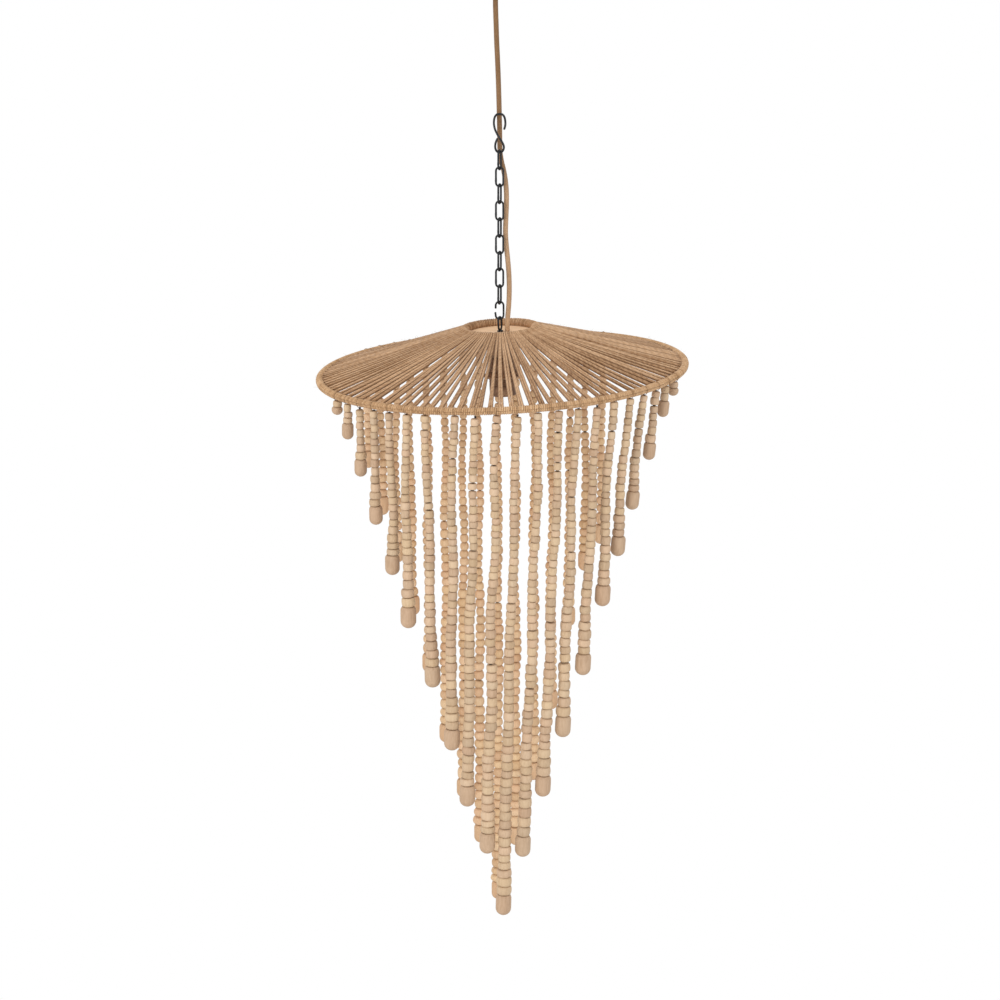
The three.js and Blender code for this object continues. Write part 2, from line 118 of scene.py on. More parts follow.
HOOK_BOTTOM = HOOK_WIRE - HOOK_HEIGHT
FIRST_LINK_TOP = HOOK_BOTTOM + HOOK_WIRE + LINK_WIRE / 2 + TOUCH_GAP
LINK_PITCH = LINK_LENGTH - 2 * LINK_WIRE - TOUCH_GAP
LAST_LINK_BOTTOM = FIRST_LINK_TOP - (LINK_COUNT - 1) * LINK_PITCH - (LINK_LENGTH - LINK_WIRE)
OPEN_LINK_TOP = LAST_LINK_BOTTOM + LINK_WIRE + TOUCH_GAP
OPEN_LINK_BOTTOM = OPEN_LINK_TOP - (OPEN_LINK_LENGTH - LINK_WIRE)
EYE_TOP = OPEN_LINK_BOTTOM + LINK_WIRE + TOUCH_GAP

# The shade's own frame has its origin at the eye's top, and its right side a little higher than its left
SHADE_TILT = math.radians(2.67)
SHADE_FRAME = Matrix.Translation((0, 0, EYE_TOP)) @ Matrix.Rotation(-SHADE_TILT, 4, "Y")
EYE_LENGTH = 24.3 * MM
COLLAR_HEIGHT = 1.8 * MM
PLATE_THICKNESS = 5 * MM
TOP_ROD_RADIUS = 3.5 * MM
TOP_RING_RADIUS = 59.5 * MM
RIM_RADIUS = 6.2 * MM
RING_RADIUS = 298.8 * MM
SHADE_DROP = 66.5 * MM
SPOKE_COUNT = 116
RIM_SEGMENTS = 58

COLLAR_TOP = LINK_WIRE / 2 - EYE_LENGTH
PLATE_TOP = COLLAR_TOP - COLLAR_HEIGHT - TOUCH_GAP
PLATE_BOTTOM = PLATE_TOP - PLATE_THICKNESS
TOP_RING_HEIGHT = PLATE_TOP + TOUCH_GAP + TOP_ROD_RADIUS
RING_HEIGHT = TOP_RING_HEIGHT - SHADE_DROP
STRAND_PITCH = FULL_TURN / RIM_SEGMENTS
CHORD_SAG = RING_RADIUS * (1 - math.cos(STRAND_PITCH / 2))

FRONT_OFFSET = math.radians(4.4)
FRONT_LONGEST = 10
BACK_MIDDLE = 7
LONGEST_FRONT_DROP = 833 * MM
LONGEST_BACK_DROP = 1071 * MM
FRONT_DROP_SHARES = (
    0.036, 0.077, 0.143, 0.231, 0.324, 0.424, 0.538, 0.66, 0.773, 0.87, 1,
    0.883, 0.765, 0.651, 0.534, 0.405, 0.315, 0.233, 0.144, 0.069, 0.036,
)
BACK_DROP_SHARES = (0.19, 0.276, 0.364, 0.462, 0.569, 0.7, 0.805, 0.892, 1, 0.9, 0.78, 0.65, 0.5, 0.4, 0.35)
FRONT_LEAN_DEGREES = (
    4, 1, 0, -0.5, -0.5, 0, -1.2, 0.7, 1.3, 1.2, 1.5,
    1.8, 2.05, 2.3, 2.5, 2.75, 3.8, 5.2, 5.2, 5.8, 4.5,
)
# The strands at the left that hang half a pitch further round, on the flats of the solids' ring
FRONT_SHIFTED_COUNT = 7


class Slot(Enum):
    """The record's material slots."""

    BEAD_WOOD = "bead_wood"
    BEAD_WOOD_BACK = "bead_wood_back"
    JUTE = "jute"
    CORD_COVER = "cord_cover"
    BOARD = "board"
    BLACK_STEEL = "black_steel"
    BROWN_PLASTIC = "brown_plastic"


class Body(str, Enum):
    """The bodies that this script names itself; each strand's body has the strand's own name."""

    HOOK = "hook"
    OPEN_LINK = "open_link"
    SHADE = "shade"


class Side(Enum):
    """Which curtain a strand belongs to."""

    FRONT = "front"
    BACK = "back"


class Nodes:
    """Adds shader nodes to one material and links them, left to right."""

    def __init__(self, name: str) -> None:
        """Starts a node material.

        Args:
            name: The material's name.
        """
        self.material = bpy.data.materials.new(name)
        self.material.use_nodes = True
        self.tree = self.material.node_tree
        self.shader = self.tree.nodes["Principled BSDF"]

    def fill(self, socket: bpy.types.NodeSocket, value: object) -> None:
        """Links an output to a socket, or sets the socket's own value.

        Args:
            socket: The input to fill.
            value: Another node's output, an RGB tuple for a colour socket, or a plain value.
        """
        if isinstance(value, bpy.types.NodeSocket):
            self.tree.links.new(value, socket)
        elif socket.type == "RGBA":
            socket.default_value = (*value, 1)
        else:
            socket.default_value = value

    def add(self, kind: str, inputs: Optional[dict] = None, **settings: object) -> bpy.types.Node:
        """Adds a node.

        Args:
            kind: The node's type name, without its ShaderNode prefix.
            inputs: Socket name or index to a value or another node's output.
            **settings: Attributes to set on the node before its inputs.

        Returns:
            The new node.
        """
        node = self.tree.nodes.new("ShaderNode" + kind)
        for key, value in settings.items():
            setattr(node, key, value)
        for key, value in (inputs or {}).items():
            self.fill(node.inputs[key], value)
        return node

    def ramp(self, factor: bpy.types.NodeSocket, stops: Iterable[tuple]) -> bpy.types.NodeSocket:
        """Adds a colour ramp.

        Args:
            factor: What drives the ramp.
            stops: Pairs of position and linear RGB colour.

        Returns:
            The ramp's colour output.
        """
        node = self.add("ValToRGB", {"Fac": factor})
        elements = node.color_ramp.elements
        pairs = list(stops)
        while len(elements) < len(pairs):
            elements.new(0.5)
        for element, (position, colour) in zip(elements, pairs):
            element.position = position
            element.color = (*colour, 1)
        return node.outputs["Color"]

    def math(self, operation: str, *values: object) -> bpy.types.NodeSocket:
        """Adds a Math node and returns its output."""
        return self.add("Math", dict(enumerate(values)), operation=operation).outputs[0]

    def total(self, *parts: tuple) -> bpy.types.NodeSocket:
        """Adds patterns up.

        Args:
            *parts: Pairs of an output and its share of the sum.

        Returns:
            The sum's output.
        """
        weighed = [self.math("MULTIPLY", value, share) for value, share in parts]
        return functools.reduce(lambda sum_so_far, value: self.math("ADD", sum_so_far, value), weighed)

    def raised(self, base: object, pattern: bpy.types.NodeSocket, share: float) -> bpy.types.NodeSocket:
        """A base value with a share of a pattern on top."""
        return self.math("ADD", base, self.math("MULTIPLY", pattern, share))

    def vector(self, **parts: tuple) -> bpy.types.NodeSocket:
        """A vector whose X, Y and Z are each a pair of an output and its scale."""
        scaled = {axis: self.math("MULTIPLY", value, scale) for axis, (value, scale) in parts.items()}
        return self.add("CombineXYZ", scaled).outputs[0]

    def noise(self, place: object, detail: float = 2.0, **inputs: float) -> bpy.types.NodeSocket:
        """Adds a noise pattern.

        Args:
            place: A vector output, or how much the object's coordinates are scaled, as a number or per axis.
            detail: How many finer layers it has.
            **inputs: Others of the node's inputs, such as Scale, which is 1 where it isn't given.

        Returns:
            The pattern's output, from 0 to 1.
        """
        if not isinstance(place, bpy.types.NodeSocket):
            place = self.object_place(place if isinstance(place, tuple) else (place,) * 3)
        return self.add("TexNoise", {"Vector": place, "Scale": 1.0, "Detail": detail, **inputs}).outputs["Fac"]

    def mix(self, kind: str, factor: object, first: object, second: object) -> bpy.types.NodeSocket:
        """Mixes two colours.

        Args:
            kind: The blend type, such as MIX or MULTIPLY.
            factor: A number or an output.
            first: The lower colour.
            second: The upper colour.

        Returns:
            The mixed colour output.
        """
        node = self.add("Mix", data_type="RGBA", blend_type=kind)
        for index, value in ((0, factor), (6, first), (7, second)):
            self.fill(node.inputs[index], value)
        return node.outputs[2]

    def attribute(self, name: str) -> bpy.types.NodeSocket:
        """Reads one of the mesh's own number attributes."""
        return self.add("Attribute", attribute_name=name).outputs["Fac"]

    def uv(self) -> bpy.types.Node:
        """The piece's own UV map, as separate X, around, and Y, along in metres."""
        return self.add("SeparateXYZ", {0: self.add("UVMap", uv_map=UV_MAP).outputs[0]})

    def object_place(self, scale: tuple) -> bpy.types.NodeSocket:
        """Object coordinates, scaled along each axis."""
        source = self.add("TexCoord").outputs["Object"]
        return self.add("Mapping", {"Vector": source, "Scale": scale}).outputs[0]

    def bump(self, height: bpy.types.NodeSocket, distance: float, strength: float) -> None:
        """Raises the surface by a height pattern.

        Args:
            height: The pattern, from 0 to 1.
            distance: How far 1 stands above 0, in metres.
            strength: The share of it that shows.
        """
        node = self.add("Bump", {"Height": height, "Distance": distance, "Strength": strength})
        self.tree.links.new(node.outputs[0], self.shader.inputs["Normal"])

    def finish(self, colour: object, roughness: object, **plain: float) -> bpy.types.Material:
        """Sets the shader's own sockets.

        Args:
            colour: A linear RGB tuple or an output.
            roughness: A number or an output.
            **plain: Other sockets, by name with underscores for spaces, as plain numbers.

        Returns:
            The finished material.
        """
        self.fill(self.shader.inputs["Base Color"], colour)
        self.fill(self.shader.inputs["Roughness"], roughness)
        for key, value in plain.items():
            self.fill(self.shader.inputs[key.replace("_", " ")], value)
        return self.material


@dataclass(frozen=True)
class BeadWood:
    """Bare, sanded wood, each bead with its own tone and grain, and painted shade in the groove where beads meet."""

    name: str
    light: tuple
    middle: tuple
    dark: tuple
    groove_shade: tuple
    grain_scale: tuple = (210, 210, 34)
    blotch_scale: tuple = (60, 60, 48)
    bead_shift: tuple = (9.7, 5.3, 3.1)
    tone_share: float = 0.36
    grain_share: float = 0.34
    blotch_share: float = 0.28
    stops: tuple = (0.2, 0.49, 0.82)
    streaks: tuple = ((0.3, (0.9, 0.86, 0.8)), (0.52, (1, 1, 1)), (0.9, (1.03, 1.03, 1.03)))
    streak_strength: float = 0.75
    tints: tuple = ((0.0, (1.0, 0.925, 0.9)), (0.35, (1, 1, 1)), (0.7, (1.0, 1.0, 0.88)), (1.0, (0.9, 0.94, 0.95)))
    tint_repeat: float = 7.3
    tint_strength: float = 0.6
    groove_shade_power: float = 5.0
    groove_shade_share: float = 0.3
    relief: float = 0.35 * MM

    def make(self) -> bpy.types.Material:
        """Builds the material.

        Returns:
            The finished material.
        """
        n = Nodes(self.name)
        tone = n.attribute("tone")
        shift = n.vector(**{axis: (tone, scale) for axis, scale in zip("XYZ", self.bead_shift)})
        place = n.add("VectorMath", {0: n.object_place(self.grain_scale), 1: shift}, operation="ADD").outputs[0]
        grain = n.noise(place, 6, Scale=1.6, Roughness=0.62, Distortion=0.6)
        blotch = n.noise(self.blotch_scale, 3)
        mixed = n.total((tone, self.tone_share), (grain, self.grain_share), (blotch, self.blotch_share))
        colour = n.ramp(mixed, zip(self.stops, (self.dark, self.middle, self.light)))
        colour = n.mix("MULTIPLY", self.streak_strength, colour, n.ramp(grain, self.streaks))
        repeated = n.math("FRACT", n.math("MULTIPLY", tone, self.tint_repeat))
        colour = n.mix("MULTIPLY", self.tint_strength, colour, n.ramp(repeated, self.tints))
        # Painted shade: each bead's ends, next to the groove between beads, are darkened towards the groove colour.
        edge = n.math("POWER", n.attribute("edge"), self.groove_shade_power)
        colour = n.mix("MIX", n.math("MULTIPLY", edge, self.groove_shade_share), colour, self.groove_shade)
        n.bump(n.total((grain, 0.7), (blotch, 0.3)), self.relief, 0.7)
        return n.finish(colour, n.raised(0.56, grain, 0.22), Specular_IOR_Level=0.32)


@dataclass(frozen=True)
class Twine:
    """Plied natural fibre, with painted shade on the sides where twines meet. Its plies wind round the strand by the
    piece's own UV map, whose V is in metres.
    """

    name: str
    light: tuple
    middle: tuple
    dark: tuple
    ply_pitch: float = 23 * MM
    plies: int = 2
    ply_share: float = 0.2
    fibre_share: float = 0.3
    own_share: float = 0.34
    mottle_share: float = 0.36
    patch_share: float = 0.4
    stops: tuple = (0.16, 0.46, 0.82)
    meeting_shade: float = 0.85
    meeting_shade_power: float = 1.6
    relief: float = 0.6 * MM

    def make(self) -> bpy.types.Material:
        """Builds the material.

        Returns:
            The finished material.
        """
        n = Nodes(self.name)
        uv = n.uv()
        along = uv.outputs["Y"]
        tone = n.attribute("tone")
        around = n.math("MULTIPLY", uv.outputs["X"], float(self.plies))
        turns = n.math("SUBTRACT", n.math("DIVIDE", along, self.ply_pitch / self.plies), around)
        phase = n.raised(turns, n.noise(55), 2.2)
        ply = n.math("MULTIPLY", n.math("PINGPONG", phase, 0.5), 2.0)
        fibre = n.noise(n.vector(X=(phase, 7.0), Y=(around, 3.0), Z=(along, 300.0)), 5, Scale=1.3, Roughness=0.7)
        mottle = n.noise(n.vector(X=(tone, 41.0), Y=(along, 62.0)), 3, Roughness=0.6)
        patch = n.math("SUBTRACT", n.noise(17, 3), 0.5)
        mixed = n.total((ply, self.ply_share), (fibre, self.fibre_share), (tone, self.own_share),
                        (mottle, self.mottle_share), (patch, self.patch_share))
        colour = n.ramp(mixed, zip(self.stops, (self.dark, self.middle, self.light)))
        # Painted shade: the side of each twine that faces its neighbour is darkened towards the dark colour.
        meeting_shade = n.math("MULTIPLY", n.math("POWER", n.attribute("edge"), self.meeting_shade_power), self.meeting_shade)
        colour = n.mix("MIX", meeting_shade, colour, self.dark)
        n.bump(n.raised(n.math("POWER", ply, 0.6), fibre, 0.35), self.relief, 0.9)
        return n.finish(colour, 0.86, Specular_IOR_Level=0.18, Sheen_Weight=0.12, Sheen_Roughness=0.5)


@dataclass(frozen=True)
class BraidedCover:
    """A cord's braided natural cover: two sets of yarns that cross, by the piece's own UV map.

    The tone attribute leads from the upper colours, darker as painted shade, to the lower ones.
    """

    name: str
    upper: tuple
    lower: tuple
    yarns: int = 8
    pitch: float = 13.5 * MM
    stops: tuple = (0.3, 0.56, 0.86)
    relief: float = 0.6 * MM

    def make(self) -> bpy.types.Material:
        """Builds the material.

        Returns:
            The finished material.
        """
        n = Nodes(self.name)
        uv = n.uv()
        around = n.math("MULTIPLY", uv.outputs["X"], float(self.yarns))
        along = n.math("DIVIDE", uv.outputs["Y"], self.pitch / self.yarns)
        left = n.math("PINGPONG", n.math("ADD", along, around), 0.5)
        right = n.math("PINGPONG", n.math("SUBTRACT", along, around), 0.5)
        yarn = n.math("MULTIPLY", n.math("MAXIMUM", left, right), 2.0)
        fine = n.noise((900, 900, 420), 4)
        mixed = n.total((yarn, 0.4), (fine, 0.35), (n.noise((60, 60, 22)), 0.3))
        above, below = (n.ramp(mixed, zip(self.stops, colours)) for colours in (self.upper, self.lower))
        colour = n.mix("MIX", n.attribute("tone"), above, below)
        n.bump(n.raised(yarn, fine, 0.4), self.relief, 0.8)
        return n.finish(colour, 0.88, Specular_IOR_Level=0.18, Sheen_Weight=0.15, Sheen_Roughness=0.5)


@dataclass(frozen=True)
class BlackSteel:
    """Blackened steel wire: near black, satin, rubbed a little brighter where it is worn.

    With a bare colour, the wire whose tone is 1 has lost its black and is that colour.
    """

    name: str
    body: tuple = (0.012, 0.013, 0.015)
    worn: tuple = (0.05, 0.05, 0.053)
    stops: tuple = (0.42, 0.58, 0.78)
    roughness: float = 0.34
    bare: Optional[tuple] = None
    bare_tone: float = 0.75
    relief: float = 0.12 * MM

    def make(self) -> bpy.types.Material:
        """Builds the material.

        Returns:
            The finished material.
        """
        n = Nodes(self.name)
        cloud = n.noise(240, 5)
        colour = n.ramp(cloud, zip(self.stops, (self.body, self.body, self.worn)))
        if self.bare:
            colour = n.mix("MIX", n.math("GREATER_THAN", n.attribute("tone"), self.bare_tone), colour, self.bare)
        n.bump(n.raised(cloud, n.noise(1400), 0.4), self.relief, 0.6)
        rough = n.raised(self.roughness, cloud, 0.22)
        return n.finish(colour, rough, Metallic=0.35, Specular_IOR_Level=0.38, Coat_Weight=0.06,
                        Coat_Roughness=0.35)


@dataclass(frozen=True)
class MouldedPlastic:
    """Dark moulded plastic with a fine orange-peel skin."""

    name: str
    dark: tuple
    light: tuple
    stops: tuple = (0.38, 0.62)
    roughness: float = 0.45
    relief: float = 0.08 * MM

    def make(self) -> bpy.types.Material:
        """Builds the material.

        Returns:
            The finished material.
        """
        n = Nodes(self.name)
        cloud = n.noise(90, 4)
        colour = n.ramp(cloud, zip(self.stops, (self.dark, self.light)))
        n.bump(n.noise(900), self.relief, 0.6)
        return n.finish(colour, n.raised(self.roughness, cloud, 0.14), Specular_IOR_Level=0.25)


@dataclass(frozen=True)
class PaleBoard:
    """The plate's plain board, with long straight grain across it."""

    name: str
    light: tuple
    dark: tuple
    stops: tuple = (0.32, 0.68)
    relief: float = 0.2 * MM

    def make(self) -> bpy.types.Material:
        """Builds the material.

        Returns:
            The finished material.
        """
        n = Nodes(self.name)
        grain = n.noise((14, 160, 60), 7, Scale=2.2, Distortion=0.5)
        mixed = n.total((grain, 0.75), (n.noise((120, 1500, 400), 3), 0.25))
        n.bump(mixed, self.relief, 0.6)
        return n.finish(n.ramp(mixed, zip(self.stops, (self.dark, self.light))), 0.72, Specular_IOR_Level=0.3)


@dataclass(frozen=True)
class Brass:
    """The holder's contact and shell."""

    name: str
    dark: tuple = (0.42, 0.27, 0.09)
    light: tuple = (0.6, 0.42, 0.16)
    stops: tuple = (0.35, 0.7)

    def make(self) -> bpy.types.Material:
        """Builds the material.

        Returns:
            The finished material.
        """
        n = Nodes(self.name)
        cloud = n.noise(300, 3)
        colour = n.ramp(cloud, zip(self.stops, (self.dark, self.light)))
        return n.finish(colour, n.raised(0.26, cloud, 0.2), Metallic=1.0)


class Finishes:
    """Every material, made once."""

    def __init__(self) -> None:
        """Builds the materials."""
        # Painted light: the same bead wood in two copies, each coloured to the brightness its curtain shows under
        # its light; the back copy is the brighter.
        self.front_wood_light_matched = BeadWood("front_bead_wood", light=(0.68, 0.505, 0.345), middle=(0.58, 0.418, 0.28),
                                   dark=(0.45, 0.312, 0.204), groove_shade=(0.28, 0.163, 0.085)).make()
        self.back_wood_light_matched = BeadWood("back_bead_wood", light=(0.77, 0.555, 0.36), middle=(0.67, 0.455, 0.28),
                                  dark=(0.55, 0.35, 0.2), groove_shade=(0.3, 0.165, 0.082)).make()
        self.spoke_twine = Twine("spoke_twine", light=(0.65, 0.415, 0.24), middle=(0.41, 0.232, 0.116),
                                 dark=(0.13, 0.058, 0.022)).make()
        self.rim_twine = Twine("rim_twine", light=(0.71, 0.48, 0.28), middle=(0.55, 0.335, 0.175),
                               dark=(0.26, 0.138, 0.06), ply_pitch=9 * MM, ply_share=0.12, own_share=0.3,
                               mottle_share=0.3, meeting_shade=0.6, relief=0.3 * MM).make()
        # The cord cover's upper colours are darker as painted shade.
        self.cord_cover = BraidedCover("cord_cover",
                                       upper=((0.13, 0.066, 0.028), (0.25, 0.135, 0.061), (0.42, 0.25, 0.135)),
                                       lower=((0.25, 0.135, 0.065), (0.5, 0.31, 0.175), (0.72, 0.49, 0.31))).make()
        self.black_steel = BlackSteel("black_steel").make()
        self.black_wire = BlackSteel("black_wire", roughness=0.42, bare=(0.34, 0.2, 0.1)).make()
        self.brown_plastic = MouldedPlastic("brown_plastic", dark=(0.13, 0.065, 0.035),
                                            light=(0.30, 0.175, 0.1)).make()
        self.board = PaleBoard("pale_board", light=(0.86, 0.59, 0.37), dark=(0.71, 0.45, 0.255)).make()
        self.brass = Brass("brass_contact").make()


class Shape:
    """A bmesh in the making, with the float layers and UV map that the finishes read."""

    # A tube's side that faces away from its neighbour is marked as an edge by this share; the finishes darken the
    # marked sides as painted shade
    FAR_EDGE = 0.3
    ON_AXIS = 1e-9
    MERGE_DISTANCE = 1e-7

    def __init__(self) -> None:
        """Starts an empty shape."""
        self.bm = bmesh.new()
        self.uv = self.bm.loops.layers.uv.new(UV_MAP)
        self.tone = self.bm.verts.layers.float.new("tone")
        self.edge = self.bm.verts.layers.float.new("edge")

    def move(self, matrix: Matrix) -> None:
        """Transforms everything in the shape."""
        bmesh.ops.transform(self.bm, matrix=matrix, verts=list(self.bm.verts))

    def tube(self, path: Sequence[Vector], radius: object, sides: int, closed: bool = False,
             tone: float = 0.5, beside: Optional[Vector] = None) -> list:
        """Extrudes a round section along a path.

        Args:
            path: The centreline.
            radius: The section's radius, or a function from the path's share, 0 to 1, to a radius.
            sides: How many sides the section has.
            closed: Whether the last section joins the first.
            tone: The tone that its vertices carry.
            beside: The way towards the tube's nearest neighbour, where its surface is marked as an edge that the
                finishes darken as painted shade. The other side is marked as a weaker edge.

        Returns:
            The new vertices.
        """
        frames = self._frames(path, closed, beside)
        size = radius if callable(radius) else (lambda share: radius)
        lengths = [0.0]
        for before, after in zip(path, path[1:]):
            lengths.append(lengths[-1] + (after - before).length)
        total = lengths[-1] + ((path[0] - path[-1]).length if closed else 0)
        last = max(1, len(path) - 1)
        places = [frame @ Matrix.Scale(size(index / last), 4) for index, frame in enumerate(frames)]
        ring = bmesh.ops.create_circle(self.bm, cap_ends=False, segments=sides, radius=1.0)["verts"]
        first_edges = edges = list({edge for vert in ring for edge in vert.link_edges})
        bmesh.ops.transform(self.bm, matrix=places[0], verts=ring)
        rows = [ring]
        for before, after in zip(places, places[1:]):
            made = bmesh.ops.extrude_edge_only(self.bm, edges=edges)["geom"]
            new = [item for item in made if isinstance(item, bmesh.types.BMVert)]
            edges = [item for item in made if isinstance(item, bmesh.types.BMEdge)]
            bmesh.ops.transform(self.bm, matrix=after @ before.inverted(), verts=new)
            rows.append(self._in_step(rows[-1], new))
        if closed:
            bmesh.ops.bridge_loops(self.bm, edges=edges + first_edges)
        else:
            for row in (rows[0], rows[-1]):
                bmesh.ops.contextual_create(self.bm, geom=row)
        seats = {}
        for row, along, point in zip(rows, lengths, path):
            for side, vert in enumerate(row):
                seats[vert] = (side, along)
                vert[self.tone] = tone
                if beside is not None:
                    facing = (vert.co - point).normalized().dot(beside)
                    vert[self.edge] = facing if facing > 0 else -self.FAR_EDGE * facing
        self._map_tube(seats, sides, total, closed)
        return list(seats)

    @staticmethod
    def _in_step(before: list, new: list) -> list:
        """Orders the extruded vertices as the row that they left.

        Args:
            before: The row extruded from, in order.
            new: The new vertices, in any order.

        Returns:
            The new vertices in the same order.
        """
        fresh = set(new)
        row = []
        for vert in before:
            row.append(next(edge.other_vert(vert) for edge in vert.link_edges if edge.other_vert(vert) in fresh))
        return row

    def _map_tube(self, seats: dict, sides: int, total: float, closed: bool) -> None:
        """Lays the UV map on a tube: U once around, V along in metres.

        Args:
            seats: Vertex to its side and its length along.
            sides: How many sides the section has.
            total: The tube's whole length.
            closed: Whether it closes on itself.
        """
        for face in {face for vert in seats for face in vert.link_faces}:
            spots = [seats[loop.vert] for loop in face.loops if loop.vert in seats]
            wraps = max(spot[0] for spot in spots) == sides - 1 and len(face.loops) == 4
            far = closed and max(spot[1] for spot in spots) - min(spot[1] for spot in spots) > total / 2
            for loop in face.loops:
                side, along = seats[loop.vert]
                u = sides if wraps and side == 0 else side
                v = total if far and along == 0 else along
                loop[self.uv].uv = (u / sides, v)

    @staticmethod
    def _frames(path: Sequence[Vector], closed: bool, beside: Optional[Vector]) -> list:
        """Frames along a path that turn as little as they can.

        Args:
            path: The centreline.
            closed: Whether it closes on itself.
            beside: Where the first frame's X points, or None for any way.

        Returns:
            A matrix for each point, with Z along the path.
        """
        count = len(path)
        tangents = []
        for index in range(count):
            before = path[(index - 1) % count] if closed else path[max(index - 1, 0)]
            after = path[(index + 1) % count] if closed else path[min(index + 1, count - 1)]
            tangents.append((after - before).normalized())
        side = tangents[0].orthogonal() if beside is None else beside
        frames = []
        for point, tangent in zip(path, tangents):
            side = (side - tangent * side.dot(tangent)).normalized()
            up = tangent.cross(side)
            frames.append(Matrix.Translation(point) @ Matrix((side, up, tangent)).transposed().to_4x4())
        return frames

    def turned(self, profile: Sequence[tuple], steps: int, place: Matrix = Matrix.Identity(4), ring: bool = False,
               tone: float = 0.5, edges: Optional[Sequence[float]] = None) -> None:
        """Adds a profile spun about Z.

        Args:
            profile: Pairs of radius and height. Open ends that aren't on the axis are closed flat.
            steps: How many steps the turn has.
            place: Where the turned shape goes.
            ring: Whether the profile closes on itself.
            tone: The tone that its vertices carry.
            edges: How close each profile point is to the shape's ends, from 0 to 1.
        """
        lone = Shape()
        points = [lone.bm.verts.new((radius, 0, height)) for radius, height in profile]
        for vert, share in zip(points, edges or [0.0] * len(points)):
            vert[lone.edge] = share
        lines = [lone.bm.edges.new(pair) for pair in zip(points, points[1:])]
        if ring:
            lines.append(lone.bm.edges.new((points[-1], points[0])))
        bmesh.ops.spin(lone.bm, geom=points + lines, cent=(0, 0, 0), axis=(0, 0, 1), angle=FULL_TURN, steps=steps,
                       use_merge=True)
        poles = [vert for vert in lone.bm.verts if abs(vert.co.x) + abs(vert.co.y) < self.ON_AXIS]
        if poles:
            bmesh.ops.remove_doubles(lone.bm, verts=poles, dist=self.MERGE_DISTANCE)
        rims = [edge for edge in lone.bm.edges if edge.is_boundary]
        if rims:
            bmesh.ops.holes_fill(lone.bm, edges=rims, sides=0)
        for vert in lone.bm.verts:
            vert[lone.tone] = tone
        for face in lone.bm.faces:
            for loop in face.loops:
                spot = loop.vert.co
                loop[lone.uv].uv = (math.atan2(spot.y, spot.x) / FULL_TURN + 0.5, spot.z)
        self.take(lone, place)

    def copy_of(self, mesh: bpy.types.Mesh, place: Matrix, tone: Optional[float] = None) -> None:
        """Adds a copy of a mesh.

        Args:
            mesh: What to copy, with the same layers.
            place: Where the copy goes.
            tone: A tone for all its vertices, if it has its own.
        """
        start = len(self.bm.verts)
        self.bm.from_mesh(mesh)
        made = list(self.bm.verts)[start:]
        bmesh.ops.transform(self.bm, matrix=place, verts=made)
        if tone is not None:
            for vert in made:
                vert[self.tone] = tone

    def take(self, other: Shape, place: Matrix) -> None:
        """Moves another shape into this one.

        Args:
            other: What to take, which is used up.
            place: Where it goes.
        """
        mesh = other.mesh("taken")
        self.copy_of(mesh, place)
        bpy.data.meshes.remove(mesh)

    def mesh(self, name: str) -> bpy.types.Mesh:
        """Writes the shape to a new mesh and frees it.

        Args:
            name: The mesh's name.

        Returns:
            The new mesh.
        """
        bmesh.ops.recalc_face_normals(self.bm, faces=list(self.bm.faces))
        mesh = bpy.data.meshes.new(name)
        self.bm.to_mesh(mesh)
        self.bm.free()
        return mesh


def add_object(name: str, data: object) -> bpy.types.Object:
    """Adds an object with some data to the scene.

    Args:
        name: The object's name.
        data: Its mesh, lamp or camera.

    Returns:
        The new object.
    """
    obj = bpy.data.objects.new(name, data)
    bpy.context.scene.collection.objects.link(obj)
    return obj


def piece(shape: Shape, name: str, material: bpy.types.Material, body: Optional[str],
          replaced: Sequence[str] = (), crease: Optional[float] = math.radians(42)) -> bpy.types.Object:
    """Makes a finished piece of a shape.

    Args:
        shape: What was modelled.
        name: The piece's name.
        material: Its finish.
        body: The body that it rides on, or None for a piece that rides on none.
        replaced: The nodes that it stands for.
        crease: The angle past which an edge stays sharp, or None for all smooth.

    Returns:
        The new object.
    """
    mesh = shape.mesh(name)
    mesh.materials.append(material)
    mesh.shade_smooth()
    if crease is not None:
        mesh.set_sharp_from_angle(angle=crease)
    obj = add_object(name, mesh)
    if body is not None:
        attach(obj, body)
    if replaced:
        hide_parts(*replaced)
    LOG.info("%s: %d faces on %s", name, len(mesh.polygons), body)
    return obj


def smooth_path(points: Sequence[Vector], steps: int) -> list:
    """A Catmull-Rom path through points.

    Args:
        points: What it passes through.
        steps: How many steps each stretch has.

    Returns:
        The path's points.
    """
    last = len(points) - 1
    path = []
    for index in range(last):
        a, b, c, d = (points[min(max(index + shift, 0), last)] for shift in (-1, 0, 1, 2))
        for step in range(steps):
            t = step / steps
            path.append(0.5 * (2 * b + (c - a) * t + (2 * a - 5 * b + 4 * c - d) * t ** 2
                               + (3 * b - a - 3 * c + d) * t ** 3))
    path.append(points[-1].copy())
    return path


def oval_path(length: float, width: float, end_steps: int = 10) -> list:
    """An oval link's centreline in the XZ plane, with its top at height zero.

    Args:
        length: The centreline's length.
        width: The centreline's width.
        end_steps: How many steps each rounded end has.

    Returns:
        The path's points.
    """
    radius = width / 2
    path = []
    for centre, start in ((-radius, 0.0), (-radius - (length - width), math.pi)):
        for step in range(end_steps + 1):
            angle = start + math.pi * step / end_steps
            path.append(Vector((radius * math.cos(angle), 0, centre + radius * math.sin(angle))))
    return path


def arc(centre: tuple, reach: tuple, start: float, turn: float, steps: int) -> list:
    """Points of radius and height along an arc.

    Args:
        centre: The arc's middle, as radius and height.
        reach: Its half axes, across and up.
        start: Where it starts, from the outward way.
        turn: How far it goes round.
        steps: How many steps it has.

    Returns:
        Pairs of radius and height.
    """
    angles = [start + turn * step / steps for step in range(steps + 1)]
    return [(centre[0] + reach[0] * math.cos(angle), centre[1] + reach[1] * math.sin(angle)) for angle in angles]


